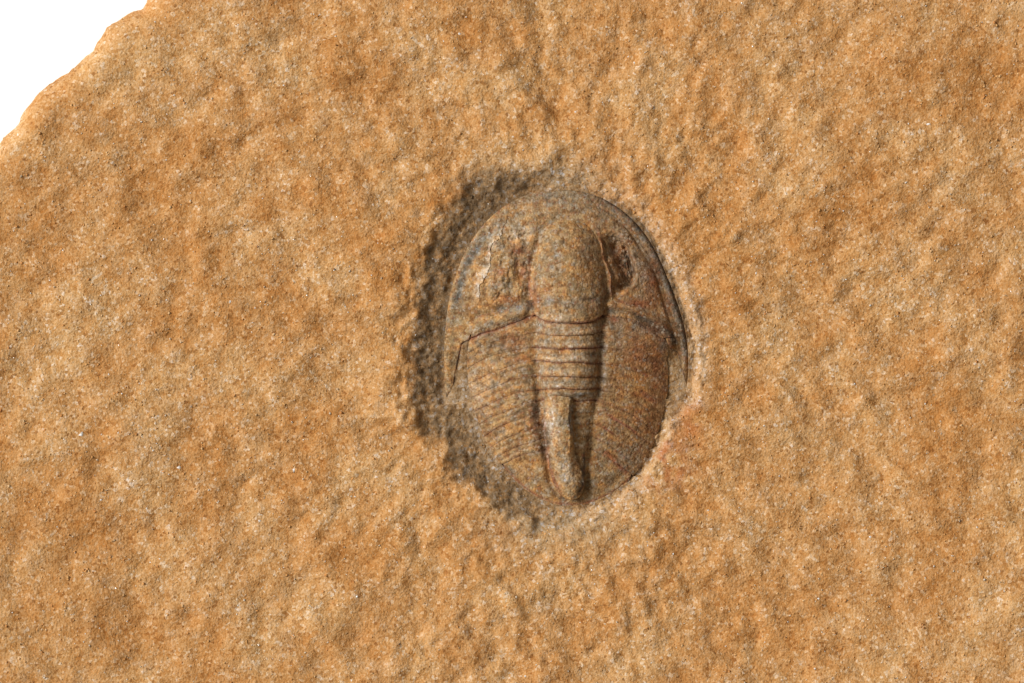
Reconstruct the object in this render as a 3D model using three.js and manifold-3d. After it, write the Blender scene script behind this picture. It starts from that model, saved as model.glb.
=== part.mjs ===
// A fossil trilobite in a broken slab of fine sandstone. Millimetres, +Z up.
//
// The slab lies on its flat underside at z = 0. The animal lies on its belly in a hollow in the slab's top,
// with its head towards +Y. Its shell is the set of plates that it grew as: a cranidium with the glabella,
// two free cheeks that end in genal spines, ten thoracic segments, of which the sixth carries a long axial
// spine, and a tail plate, the pygidium. Each plate is a vaulted shell over the slab's core of rock.
//
// Lengths on the animal are shares of its body length. In plan it is described from its own centre, as
// x to the right and y towards the head, and by the polar angle round that centre.

import * as THREE from "three";
import { mergeVertices } from "three/addons/utils/BufferGeometryUtils.js";
import Module from "manifold-3d";

// Driving dimensions
const BODY_LENGTH = 20; // front of the head to the end of the tail
const SLAB_SIZE = new THREE.Vector3(78, 56, 9);
const BODY_CENTRE = new THREE.Vector2(3.5, -0.4); // on the slab, from the middle of its underside
const SEGMENTS = 10;
const SPINE_SEGMENT = 6; // counted from the head
const JOINT = 0.07; // clear gap between neighbouring plates
const BEDDING_GAP = 0.25; // clear gap between a plate and the rock under and round it

// Heights on the animal, from the slab's mean surface
const SHELL = 0.4;
const VAULT = 0.0625 * BODY_LENGTH; // rise from the rim to the middle
const AXIS_HEIGHT = 0.0425 * BODY_LENGTH; // axial lobe above the pleural lobes
const TAIL_AXIS_HEIGHT = 0.021 * BODY_LENGTH; // behind the spine's base
const FURROW_DEPTH = 0.01 * BODY_LENGTH;
const SPINE_THICKNESS = 0.027 * BODY_LENGTH;

// Plan shape of the animal: each side's half width, and the exponent of its superellipse
const WIDEST_Y = -0.04 * BODY_LENGTH;
const HEAD = {
  reach: 0.537 * BODY_LENGTH,
  left: { width: 0.3875 * BODY_LENGTH, power: 2.3 },
  right: { width: 0.3825 * BODY_LENGTH, power: 1.95 },
};
const TRUNK = {
  reach: 0.455 * BODY_LENGTH,
  left: { width: 0.3175 * BODY_LENGTH, power: 1.85 },
  right: { width: 0.315 * BODY_LENGTH, power: 2.15 },
};
const HEAD_REAR_Y = 0.081 * BODY_LENGTH; // rear edge of the occipital ring
const TAIL_PLATE_Y = -0.314 * BODY_LENGTH; // front edge of the pygidium, on the axis
const GLABELLA_LENGTH = 0.33 * BODY_LENGTH;
const GLABELLA_HALF_WIDTH = 0.12 * BODY_LENGTH;
const OCCIPITAL_FURROW_Y = 0.147 * BODY_LENGTH;
const AXIS_HALF_WIDTH = 0.105 * BODY_LENGTH; // behind the head
const AXIS_TAPER = 0.0525 * BODY_LENGTH; // lost from it by the tail
const AXIS_END_Y = -0.4725 * BODY_LENGTH;
const AXIS_ROUND = 0.0925 * BODY_LENGTH; // length of its rounded end
const BORDER = 0.034 * BODY_LENGTH; // width of the rim round the head
const GENAL_SPINE_TIP = THREE.MathUtils.degToRad(-23.5);

// Facial sutures, from the front rim back, as shares of the body length: across, and towards the head
const SUTURES = {
  left: [[-0.172, 0.438], [-0.222, 0.35], [-0.245, 0.3], [-0.272, 0.24], [-0.272, 0.175], [-0.295, 0.095]],
  right: [[0.1, 0.452], [0.138, 0.385], [0.178, 0.32], [0.197, 0.27], [0.195, 0.21], [0.222, 0.16],
    [0.27, 0.11]],
};
const SUTURE_REAR = { left: -0.95, right: 0.88 }; // where they meet the head's rear edge: lateral shares

// The slab's broken outline, as shares of half its length and width
const SLAB_OUTLINE = [
  [-1, 0.16], [-0.82, 0.45], [-0.72, 0.6], [-0.595, 0.76], [-0.46, 0.91], [-0.2, 0.97], [0.15, 1],
  [0.5, 0.95], [0.85, 0.98], [0.965, 0.8], [1, 0.3], [0.965, -0.2], [0.99, -0.68], [0.86, -0.96],
  [0.45, -1], [0, -0.95], [-0.4, -0.985], [-0.78, -0.955], [-0.965, -0.7], [-0.985, -0.3],
];

const SLAB_SECTORS = 72;
const EDGE_SLOPE = 1.3; // how far in from the outline the top starts to fall away
const EDGE_PROFILE = [[EDGE_SLOPE, 0], [0.5, 0.5], [0, 2.2], [0.4, 5.2], [1, 8]]; // in, and below the top

const { clamp, lerp, smoothstep, degToRad } = THREE.MathUtils;
const centre = new THREE.Vector3(BODY_CENTRE.x, BODY_CENTRE.y, 0);
const side = (x) => (x < 0 ? "left" : "right");
const bump = (distance, width) => Math.exp(-((distance / width) ** 2));

// ---- Plan shape of the animal ----

// Distance from the centre to one superellipse outline, along a direction. The superellipse is centred at
// WIDEST_Y, so the distance is found by halving the interval that holds it.
function outlineRadius(outline, angle) {
  const [c, s] = [Math.cos(angle), Math.sin(angle)];
  const { width, power } = outline[side(c)];
  const outside = (r) =>
    Math.abs((r * c) / width) ** power + Math.abs((r * s - WIDEST_Y) / outline.reach) ** power > 1;
  let [low, high] = [0, BODY_LENGTH];
  for (let step = 0; step < 40; step++) {
    const middle = (low + high) / 2;
    if (outside(middle)) high = middle;
    else low = middle;
  }
  return low;
}

// Angle above the nearer side's x axis: 90 degrees is the head's front on either side.
const risingAngle = (angle) => Math.atan2(Math.sin(angle), Math.abs(Math.cos(angle)));

// The whole animal's outline: the head's, which runs back along the genal spines, then the trunk's.
function bodyRadius(angle) {
  const share = smoothstep(risingAngle(angle), GENAL_SPINE_TIP - degToRad(5), GENAL_SPINE_TIP);
  return lerp(outlineRadius(TRUNK, angle), outlineRadius(HEAD, angle), share);
}

// The outline that the vault comes down to: it leaves the head's outline where the genal spine begins.
function vaultRadius(angle) {
  const share = smoothstep(risingAngle(angle), degToRad(-12), degToRad(8));
  return lerp(outlineRadius(TRUNK, angle), outlineRadius(HEAD, angle), share);
}

const polar = (radius, angle) => new THREE.Vector2(radius * Math.cos(angle), radius * Math.sin(angle));

// Half the width of the axial lobe, from the occipital ring to the end of the tail.
function axisHalfWidth(y) {
  const share = clamp((HEAD_REAR_Y - y) / (HEAD_REAR_Y - AXIS_END_Y), 0, 1);
  const rounding = clamp((AXIS_END_Y + AXIS_ROUND - y) / AXIS_ROUND, 0, 1);
  return (AXIS_HALF_WIDTH - AXIS_TAPER * share ** 1.3) * Math.sqrt(1 - rounding ** 2);
}

// How far inside the bullet-shaped glabella a point is: 1 in the middle of its rear edge, 0 at its furrow,
// and below 0 outside.
function insideGlabella(x, y) {
  const share = clamp((y - HEAD_REAR_Y) / GLABELLA_LENGTH, 0, 1.5);
  return 1 - (x / GLABELLA_HALF_WIDTH) ** 2 - share ** 3.6;
}

const glabellaHalfWidth = (y) => GLABELLA_HALF_WIDTH * Math.sqrt(Math.max(0, insideGlabella(0, y)));

// ---- Lines across the body, from 0 at the head's rear edge to SEGMENTS at the pygidium's front edge ----

const AXIS_SHARE = 0.3; // lateral share, from the middle, that lies on the axial lobe

function lineY(number) {
  const share = number / SEGMENTS;
  return lerp(HEAD_REAR_Y, TAIL_PLATE_Y, share) - 0.01 * BODY_LENGTH * share * (1 - share);
}

// Where a line meets the trunk's margin. Lines crowd together towards the tail.
function marginPoint(number, sign) {
  const fall = 1 - (1 - number / SEGMENTS) ** 1.25;
  const [top, length] = sign < 0 ? [0.022, 0.387] : [0.02, 0.42];
  const y = (top - length * fall) * BODY_LENGTH;
  const { width, power } = TRUNK[side(sign)];
  const x = width * (1 - Math.abs((y - WIDEST_Y) / TRUNK.reach) ** power) ** (1 / power);
  return new THREE.Vector2(sign * x, y);
}

// A point of a line, at a lateral share from -1 at the left margin to 1 at the right. It is straight over the
// axis, and a quadratic curve that sweeps back over the pleural lobe.
function linePoint(number, lateral) {
  const y = lineY(number);
  const half = axisHalfWidth(y);
  const advance = 0.0275 * BODY_LENGTH * Math.exp(-number / 1.2); // the occipital ring bulges back
  if (Math.abs(lateral) <= AXIS_SHARE) {
    const across = lateral / AXIS_SHARE;
    return new THREE.Vector2(across * half, y + advance * across ** 2);
  }
  const sign = Math.sign(lateral);
  const start = new THREE.Vector2(sign * half, y + advance);
  const end = marginPoint(number, sign);
  const droop = 0.1 + 0.4 * (number / SEGMENTS);
  const bend = new THREE.Vector2(lerp(start.x, end.x, 0.6), lerp(start.y, end.y, droop));
  const along = (Math.abs(lateral) - AXIS_SHARE) / (1 - AXIS_SHARE);
  return new THREE.QuadraticBezierCurve(start, bend, end).getPoint(along);
}

// ---- Heights ----

// The slab's surface: long low swells on a bedding plane.
function slabSurface(x, y) {
  const swell = Math.sin(x / 9 + 1.4) * Math.cos(y / 11 - 0.5) + 0.5 * Math.sin(x / 5.3 - y / 6.1);
  return SLAB_SIZE.z + 0.16 * swell;
}

// The rim sits deeper on the left, where the rock was dug away.
const rimHeight = (angle) => SLAB_SIZE.z - 0.33 + 0.17 * Math.cos(angle) - 0.04 * Math.sin(angle);

// The smooth vault that all plates share: highest in the middle, and steepest at the rim.
function vault(x, y) {
  const angle = Math.atan2(y, x);
  const share = Math.hypot(x, y) / vaultRadius(angle);
  const fall = share < 1 ? share ** 2.6 : 1 + 0.4 * (share - 1);
  return rimHeight(angle) + VAULT * (1 - fall);
}

const underside = (x, y) => vault(x, y) - SHELL;

// Rounded profile across a lobe: 1 in the middle, 0 at its furrows.
const lobe = (x, half) => (half > 0 && Math.abs(x) < half ? (1 - (x / half) ** 2) ** 0.55 : 0);

function axisHeight(y) {
  const spineBase = lineY(SPINE_SEGMENT) + 0.005 * BODY_LENGTH;
  const front = smoothstep(y, spineBase, spineBase + 0.015 * BODY_LENGTH);
  return lerp(TAIL_AXIS_HEIGHT, AXIS_HEIGHT, front);
}

// Top of a thoracic segment. along runs from 0 at its front edge to 1 at its rear edge, which stands proud.
function segmentTop(x, y, lateral, along) {
  const half = axisHalfWidth(y);
  const furrows = FURROW_DEPTH * bump(Math.abs(x) - half, 0.013 * BODY_LENGTH);
  const ring = axisHeight(y) * lobe(x, half);
  const ringStep = 0.006 * BODY_LENGTH * (along - 0.5);
  const reach = clamp((Math.abs(lateral) - AXIS_SHARE) / (1 - AXIS_SHARE), 0, 1);
  const diagonal = bump(along - lerp(0.35, 0.6, reach), 0.2);
  const pleuralFurrow = 0.007 * BODY_LENGTH * diagonal * bump(reach - 0.45, 0.4);
  return vault(x, y) + ring - furrows + ringStep - pleuralFurrow;
}

// Top of the head shield, for the cranidium and both cheeks.
function headTop(x, y) {
  const angle = Math.atan2(y, x);
  const fromRim = bodyRadius(angle) - Math.hypot(x, y);
  const inside = insideGlabella(x, y);
  const swell = Math.max(0, inside) ** 0.7;
  const glabella = 1.15 * AXIS_HEIGHT * swell;
  const occipital = 0.6 * FURROW_DEPTH * bump(y - OCCIPITAL_FURROW_Y, 0.01 * BODY_LENGTH) * swell;
  const axial = FURROW_DEPTH * bump(inside, 0.25);
  const borderFurrow = 0.8 * FURROW_DEPTH * bump(fromRim - BORDER, 0.5 * BORDER);
  const eye = 0.013 * BODY_LENGTH * bump(Math.abs(x) - 0.2 * BODY_LENGTH, 0.05 * BODY_LENGTH)
    * bump(y - 0.26 * BODY_LENGTH, 0.08 * BODY_LENGTH);
  return vault(x, y) + glabella - occipital - axial - borderFurrow + eye;
}

// Top of the pygidium: a smooth field inside a narrow rim, with the end of the axial lobe.
function pygidiumTop(x, y) {
  const half = axisHalfWidth(y);
  const angle = Math.atan2(y, x);
  const fromRim = outlineRadius(TRUNK, angle) - Math.hypot(x, y);
  const furrows = half > 0 ? FURROW_DEPTH * bump(Math.abs(x) - half, 0.013 * BODY_LENGTH) : 0;
  const rim = 0.3 * FURROW_DEPTH * bump(fromRim - 0.025 * BODY_LENGTH, 0.015 * BODY_LENGTH);
  return vault(x, y) + axisHeight(y) * lobe(x, half) - furrows - rim;
}

// ---- Solids ----

const onSlab = (x, y, z) => [x + BODY_CENTRE.x, y + BODY_CENTRE.y, z];

// A closed shell over a patch of the plan. place(u, v) gives the plan point, and top and bottom its heights;
// u runs to the right and v to the rear, both from 0 to 1.
function shellGeometry(place, top, bottom, columns, rows) {
  const positions = [];
  const index = [];
  const count = (columns + 1) * (rows + 1);
  for (const height of [top, bottom])
    for (let row = 0; row <= rows; row++)
      for (let column = 0; column <= columns; column++) {
        const [u, v] = [column / columns, row / rows];
        const point = place(u, v);
        positions.push(...onSlab(point.x, point.y, height(point.x, point.y, u, v)));
      }
  const at = (column, row) => row * (columns + 1) + column;
  for (let row = 0; row < rows; row++)
    for (let column = 0; column < columns; column++) {
      const [a, b] = [at(column, row), at(column + 1, row)];
      const [c, d] = [at(column + 1, row + 1), at(column, row + 1)];
      index.push(a, c, b, a, d, c);
      index.push(a + count, b + count, c + count, a + count, c + count, d + count);
    }
  const rim = [
    ...Array.from({ length: columns }, (_, i) => at(i, 0)),
    ...Array.from({ length: rows }, (_, i) => at(columns, i)),
    ...Array.from({ length: columns }, (_, i) => at(columns - i, rows)),
    ...Array.from({ length: rows }, (_, i) => at(0, rows - i)),
  ];
  rim.forEach((a, i) => {
    const b = rim[(i + 1) % rim.length];
    index.push(a, b, b + count, a, b + count, a + count);
  });
  const geometry = new THREE.BufferGeometry();
  geometry.setAttribute("position", new THREE.Float32BufferAttribute(positions, 3));
  geometry.setIndex(index);
  geometry.computeVertexNormals();
  return geometry;
}

// One thoracic segment, between lines number and number + 1.
function segmentGeometry(number) {
  const inset = (0.5 * JOINT) / (lineY(number) - lineY(number + 1));
  const lateral = (u) => 2 * u - 1;
  const place = (u, v) => {
    const along = lerp(inset, 1 - inset, v);
    return linePoint(number, lateral(u)).lerp(linePoint(number + 1, lateral(u)), along);
  };
  const top = (x, y, u, v) => segmentTop(x, y, lateral(u), v);
  return shellGeometry(place, top, underside, 20, 3);
}

// The axial spine lies back over the rings behind it: left of the middle, then curving in to its tip.
function spineGeometry() {
  const start = lineY(SPINE_SEGMENT) + 0.028 * BODY_LENGTH;
  const end = AXIS_END_Y + 0.004 * BODY_LENGTH;
  const middle = (v) => BODY_LENGTH * lerp(-0.031, 0.004, smoothstep(v, 0.6, 1));
  const half = (v) => BODY_LENGTH * lerp(0.05, 0.039, Math.min(1, 2 * v)) * Math.sqrt(1 - (0.985 * v) ** 8);
  const place = (u, v) => new THREE.Vector2(middle(v) + half(v) * (2 * u - 1), lerp(start, end, v));
  const bottom = (x, y) => vault(x, y) + TAIL_AXIS_HEIGHT + BEDDING_GAP;
  const rise = (v) => lerp(0.3, 1, Math.min(1, 5 * v));
  const top = (x, y, u, v) => bottom(x, y) + SPINE_THICKNESS * rise(v) * (0.3 + 0.7 * Math.sin(Math.PI * u));
  return shellGeometry(place, top, bottom, 6, 12);
}

// The pygidium, between the last line and the tail's outline.
function pygidiumGeometry() {
  const corner = (sign) => {
    const point = marginPoint(SEGMENTS, sign);
    return Math.atan2(point.y, point.x);
  };
  const [leftAngle, rightAngle] = [corner(-1) + degToRad(363), corner(1) - degToRad(3)];
  const inset = (0.5 * JOINT) / BODY_LENGTH * 8;
  const place = (u, v) => {
    const angle = lerp(leftAngle, rightAngle + 2 * Math.PI, u);
    const margin = polar(outlineRadius(TRUNK, angle), angle);
    return linePoint(SEGMENTS, 0.96 * (2 * u - 1)).lerp(margin, lerp(inset, 1, v));
  };
  return shellGeometry(place, pygidiumTop, underside, 18, 6);
}

// A facial suture as a curve from the front rim to the head's rear edge.
function sutureCurve(which) {
  const rear = linePoint(0, SUTURE_REAR[which]);
  const points = SUTURES[which].map(([x, y]) => new THREE.Vector2(x, y).multiplyScalar(BODY_LENGTH));
  points[0].setLength(bodyRadius(points[0].angle()));
  return new THREE.SplineCurve([...points, rear]);
}

// A Coons patch between two curves that run back and two that run across.
function coonsPatch(left, right, front, rear) {
  return (u, v) => {
    const across = left(v).clone().lerp(right(v), u);
    const back = front(u).clone().lerp(rear(u), v);
    const corners = left(0).clone().lerp(right(0), u).lerp(left(1).clone().lerp(right(1), u), v);
    return across.add(back).sub(corners);
  };
}

// The cranidium: three Coons patches side by side, so that its columns follow the glabella's flanks.
function cranidiumGeometry() {
  const rearInset = (0.5 * JOINT) / (0.42 * BODY_LENGTH);
  const suture = (which, sign) => {
    const curve = sutureCurve(which);
    return (v) => curve.getPoint(v * (1 - rearInset)).sub(new THREE.Vector2(0.5 * sign * JOINT, 0));
  };
  const flank = (sign) => (v) => {
    const noseX = 0.055 * BODY_LENGTH;
    const angle = Math.atan2(0.49 * BODY_LENGTH, noseX);
    const end = linePoint(0, AXIS_SHARE);
    const y = lerp(polar(bodyRadius(angle), angle).y, end.y + 0.5 * JOINT, v ** 0.9);
    const x = lerp(Math.max(glabellaHalfWidth(y), noseX), end.x, v ** 6);
    return new THREE.Vector2(sign * x, y);
  };
  const curves = [suture("left", -1), flank(-1), flank(1), suture("right", 1)];
  const laterals = [SUTURE_REAR.left, -AXIS_SHARE, AXIS_SHARE, SUTURE_REAR.right];
  const patches = [0, 1, 2].map((k) => {
    const [left, right] = [curves[k], curves[k + 1]];
    const [from, to] = [left(0), right(0)];
    const front = (u) => {
      const angle = lerp(from.angle(), to.angle(), u);
      return polar(bodyRadius(angle), angle);
    };
    const rear = (u) => {
      const point = linePoint(0, lerp(laterals[k], laterals[k + 1], u));
      const shifts = [left, right].map((edge, i) => edge(1).x - linePoint(0, laterals[k + i]).x);
      return point.add(new THREE.Vector2(lerp(shifts[0], shifts[1], u), 0.5 * JOINT));
    };
    return coonsPatch(left, right, front, rear);
  });
  const place = (u, v) => {
    const k = Math.min(2, Math.floor(u * 3));
    return patches[k](u * 3 - k, v);
  };
  return shellGeometry(place, headTop, underside, 24, 16);
}

// A free cheek with its genal spine, as a polar patch: its inner edge is the suture, then the trunk's margin,
// from which the spine's inner edge swings out to the tip.
function cheekGeometry(which) {
  const sign = which === "left" ? -1 : 1;
  const samples = sutureCurve(which).getPoints(60);
  const rising = (point) => Math.atan2(point.y, Math.abs(point.x));
  const genalAngle = rising(marginPoint(0, sign)) - degToRad(1.5);
  const frontAngle = rising(samples[0]) - degToRad(2);
  const sutureRadius = (angle) => {
    const next = samples.findIndex((point) => rising(point) <= angle);
    if (next <= 0) return samples[next === 0 ? 0 : samples.length - 1].length();
    const [a, b] = [samples[next - 1], samples[next]];
    const share = (rising(a) - angle) / (rising(a) - rising(b));
    return lerp(a.length(), b.length(), share);
  };
  const around = (rise) => (sign < 0 ? Math.PI - rise : rise);
  const innerRadius = (rise) => {
    const trunk = outlineRadius(TRUNK, around(rise)) + 2 * JOINT;
    const turnsCorner = rise < genalAngle + degToRad(4);
    if (rise > genalAngle) return Math.max(sutureRadius(rise) + 0.5 * JOINT, turnsCorner ? trunk : 0);
    const share = clamp((genalAngle - rise) / (genalAngle - GENAL_SPINE_TIP), 0, 1);
    return lerp(trunk, outlineRadius(HEAD, around(rise)) - 0.05, 0.93 * share ** 1.4);
  };
  const place = (u, v) => {
    const rise = lerp(frontAngle, GENAL_SPINE_TIP, v);
    const outer = outlineRadius(HEAD, around(rise));
    const inner = Math.min(innerRadius(rise), outer - 0.15);
    return polar(lerp(inner, outer, sign < 0 ? 1 - u : u), around(rise));
  };
  return shellGeometry(place, headTop, underside, 5, 24);
}

// The slab's outline, from the animal's centre, at an equal turn from point to point. It is fitted to the
// slab's size, because the even turns miss some of its corners.
function slabOutline(sectors) {
  const knots = SLAB_OUTLINE.map(
    ([x, y]) => new THREE.Vector3((x * SLAB_SIZE.x) / 2, (y * SLAB_SIZE.y) / 2, 0).sub(centre)
  );
  const edge = new THREE.CatmullRomCurve3(knots, true, "catmullrom", 0.25).getPoints(1440);
  const points = Array.from({ length: sectors }, (_, i) => {
    const angle = (2 * Math.PI * i) / sectors;
    const nearness = (point) => Math.cos(Math.atan2(point.y, point.x) - angle);
    return edge.reduce((best, point) => (nearness(point) > nearness(best) ? point : best)).clone();
  });
  const box = new THREE.Box3().setFromPoints(points);
  const [size, middle] = [box.getSize(new THREE.Vector3()), box.getCenter(new THREE.Vector3())];
  const fit = new THREE.Vector3(SLAB_SIZE.x / size.x, SLAB_SIZE.y / size.y, 0);
  return points.map((point) => point.sub(middle).multiply(fit).sub(centre));
}

// The hollow round the animal: how far its wall stands from the animal's outline, and how deep its floor is.
// It is widest and deepest on the left.
const hollowWidth = (angle) => 0.65 + 1.75 * (0.5 - 0.5 * Math.cos(angle + 0.15)) ** 1.5;
const hollowDepth = (angle) => 0.3 + 0.85 * (0.5 - 0.5 * Math.cos(angle + 0.1)) ** 1.3;

// The slab, as rings of points round the animal: over the core, across the hollow, out over the top, down the
// broken edge and in over the flat underside.
function slabGeometry() {
  const outline = slabOutline(SLAB_SECTORS);
  const positions = [];
  const core = (x, y) => underside(x, y) - BEDDING_GAP;
  const flat = () => 0;
  const ring = (reach, height) =>
    outline.forEach((outer, i) => {
      const angle = (2 * Math.PI * i) / SLAB_SECTORS;
      const point = reach(angle, new THREE.Vector2(outer.x, outer.y));
      positions.push(...onSlab(point.x, point.y, height(point.x, point.y, angle)));
    });
  const beyond = (distance) => (angle) => polar(bodyRadius(angle) + distance(angle), angle);
  const inwards = (distance) => (_, outer) => outer.setLength(outer.length() - distance);
  const wall = beyond((angle) => hollowWidth(angle));
  const floor = (x, y, angle) => slabSurface(x, y) - hollowDepth(angle);

  positions.push(...onSlab(0, 0, core(0, 0)));
  for (const share of [0.3, 0.55, 0.75, 0.9, 1])
    ring((angle) => polar(share * (bodyRadius(angle) + BEDDING_GAP), angle), core);
  ring(beyond(() => BEDDING_GAP + 0.03), floor);
  ring(beyond((angle) => 0.75 * hollowWidth(angle)), floor);
  ring(wall, slabSurface);
  for (const share of [0.12, 0.35, 0.6, 0.82])
    ring((angle, outer) => wall(angle).lerp(inwards(EDGE_SLOPE)(angle, outer), share), slabSurface);
  for (const [distance, below] of EDGE_PROFILE) ring(inwards(distance), (x, y) => slabSurface(x, y) - below);
  ring(inwards(EDGE_SLOPE), flat);
  ring((_, outer) => outer.multiplyScalar(0.5), flat);
  positions.push(...onSlab(0, 0, 0));

  const last = positions.length / 3 - 1;
  const rings = (last - 1) / SLAB_SECTORS;
  const at = (number, i) => 1 + number * SLAB_SECTORS + (i % SLAB_SECTORS);
  const index = [];
  for (let i = 0; i < SLAB_SECTORS; i++) {
    index.push(0, at(0, i), at(0, i + 1));
    for (let number = 0; number < rings - 1; number++) {
      const [a, b] = [at(number, i), at(number + 1, i)];
      const [c, d] = [at(number + 1, i + 1), at(number, i + 1)];
      index.push(a, b, c, a, c, d);
    }
    index.push(last, at(rings - 1, i + 1), at(rings - 1, i));
  }
  const geometry = new THREE.BufferGeometry();
  geometry.setAttribute("position", new THREE.Float32BufferAttribute(positions, 3));
  geometry.setIndex(index);
  geometry.computeVertexNormals();
  return geometry;
}

// ---- Joining two closed geometries into one ----

async function joined(...geometries) {
  const wasm = await Module();
  wasm.setup();
  const solids = geometries.map((geometry) => {
    const bare = geometry.clone().deleteAttribute("normal");
    const merged = mergeVertices(bare, 1e-4);
    const vertProperties = merged.attributes.position.array;
    const triVerts = new Uint32Array(merged.index.array);
    return new wasm.Manifold(new wasm.Mesh({ numProp: 3, vertProperties, triVerts }));
  });
  const { vertProperties, triVerts } = solids.reduce((a, b) => a.add(b)).getMesh();
  const geometry = new THREE.BufferGeometry();
  geometry.setAttribute("position", new THREE.BufferAttribute(vertProperties, 3));
  geometry.setIndex(new THREE.BufferAttribute(triVerts, 1));
  geometry.computeVertexNormals();
  return geometry;
}

// ---- The assembly ----

const sandstone = new THREE.MeshStandardMaterial({ color: 0xb9864f, roughness: 0.95, metalness: 0 });
const shellStone = new THREE.MeshStandardMaterial({ color: 0x9c7c57, roughness: 0.8, metalness: 0 });

function named(name, geometry, material) {
  const mesh = new THREE.Mesh(geometry, material);
  mesh.name = name;
  return mesh;
}

const thorax = new THREE.Group();
for (let number = 0; number < SEGMENTS; number++) {
  const plain = segmentGeometry(number);
  const carriesSpine = number + 1 === SPINE_SEGMENT;
  const geometry = carriesSpine ? await joined(plain, spineGeometry()) : plain;
  thorax.add(named(`thorax_segment_${String(number + 1).padStart(2, "0")}`, geometry, shellStone));
}

const head = new THREE.Group();
head.add(named("cranidium", cranidiumGeometry(), shellStone));
for (const which of ["left", "right"])
  head.add(named(`${which}_free_cheek`, cheekGeometry(which), shellStone));

const fossil = new THREE.Group();
fossil.add(named("stone_slab", slabGeometry(), sandstone), head, thorax);
fossil.add(named("pygidium", pygidiumGeometry(), shellStone));

export default fossil;
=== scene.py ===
"""A fossil trilobite in a broken slab of fine sandstone: the fine surfaces and finishes over its frame.

Lengths are millimetres until a mesh is written. The animal is described in plan from its own centre, with x
to the right, y towards the head and heights from the slab's underside, as shares of its body length.
"""

import logging
import math
from dataclasses import dataclass, field
from enum import Enum
from itertools import product

import bpy
import numpy as np
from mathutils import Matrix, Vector


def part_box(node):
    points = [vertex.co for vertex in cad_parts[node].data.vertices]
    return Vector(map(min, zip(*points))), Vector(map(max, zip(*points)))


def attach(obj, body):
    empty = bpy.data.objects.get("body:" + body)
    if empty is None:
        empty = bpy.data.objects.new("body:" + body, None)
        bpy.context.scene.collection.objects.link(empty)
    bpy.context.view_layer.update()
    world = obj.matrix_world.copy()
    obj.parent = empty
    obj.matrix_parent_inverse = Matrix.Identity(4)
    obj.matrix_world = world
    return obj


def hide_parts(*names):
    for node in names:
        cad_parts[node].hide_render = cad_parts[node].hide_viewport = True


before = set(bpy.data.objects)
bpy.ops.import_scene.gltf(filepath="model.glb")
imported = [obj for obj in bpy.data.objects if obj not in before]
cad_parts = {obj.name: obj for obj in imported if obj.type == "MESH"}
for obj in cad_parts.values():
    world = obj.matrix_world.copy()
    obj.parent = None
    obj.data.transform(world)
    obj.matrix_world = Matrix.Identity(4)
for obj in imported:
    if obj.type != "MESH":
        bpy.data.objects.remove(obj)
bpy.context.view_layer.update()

Array = np.ndarray
Masks = dict[str, Array]
Path = list[tuple[float, float]]
Colour = tuple[float, float, float]
Stops = list[tuple[float, Colour]]
Socket = bpy.types.NodeSocket
log = logging.getLogger("trilobite_fossil")

METRES = 0.001  # in a millimetre
SEGMENTS = 10
SPINE_SEGMENT = 6  # counted from the head
HEAD_SHARE, TAIL_SHARE = 0.497, 0.495  # from the animal's centre to its ends, in body lengths
HEAD_LENGTH, HEAD_WIDTH = 0.42, 0.55  # of the cranidium, in body lengths
CORE_GAP = 0.06  # mm between the plates' undersides and the stone


# ---- Small formulas ----


def lerp(start: Array, end: Array, share: Array) -> Array:
    """The value that lies a share of the way from start to end."""
    return start + (end - start) * share


def smoothstep(value: Array, low: float, high: float) -> Array:
    """0 below low, 1 above high, and the smooth cubic 3t^2 - 2t^3 between them."""
    t = np.clip((value - low) / (high - low), 0, 1)
    return t * t * (3 - 2 * t)


def falling(value: Array, low: float, high: float) -> Array:
    """1 below low, 0 above high, and smooth between them."""
    return 1 - smoothstep(value, low, high)


def bump(distance: Array, width: float) -> Array:
    """A bell of height 1: e to the power of minus the square of distance over width."""
    return np.exp(-((distance / width) ** 2))


def band(value: Array, low: float, high: float, soft: float) -> Array:
    """1 between low and high, falling to 0 over the soft width on both sides."""
    return smoothstep(value, low - soft, low + soft) * falling(value, high - soft, high + soft)


def polar(radius: Array, turn: Array) -> tuple[Array, Array]:
    """The x and y of a distance at a turn."""
    return radius * np.cos(turn), radius * np.sin(turn)


def between(start: tuple[Array, Array], end: tuple[Array, Array], share: Array) -> tuple[Array, Array]:
    """The x and y that lie a share of the way from start to end."""
    return lerp(start[0], end[0], share), lerp(start[1], end[1], share)


def paired(x: Array, y: Array) -> Array:
    """Points as rows of x and y."""
    return np.stack([x, y], -1)


# ---- Noise ----


def hashed(cells: Array, seed: int) -> Array:
    """Repeatable random numbers for lattice cells.

    Each whole number is mixed into a 32-bit state by exclusive-or, odd multipliers and shifts.

    Args:
        cells: Whole numbers, one row for a cell.
        seed: Picks the sequence.

    Returns:
        A number from 0 to 1 for each row.
    """
    start = (seed * 0x9E3779B1 + 0x7F4A7C15) & 0xFFFFFFFF
    state = np.full(cells.shape[:-1], start, np.uint32)
    for column in range(cells.shape[-1]):
        state ^= cells[..., column].astype(np.int64).astype(np.uint32)
        state *= np.uint32(0x85EBCA6B)
        state ^= state >> np.uint32(13)
        state *= np.uint32(0xC2B2AE35)
        state ^= state >> np.uint32(16)
    return state / 2.0**32


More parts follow.
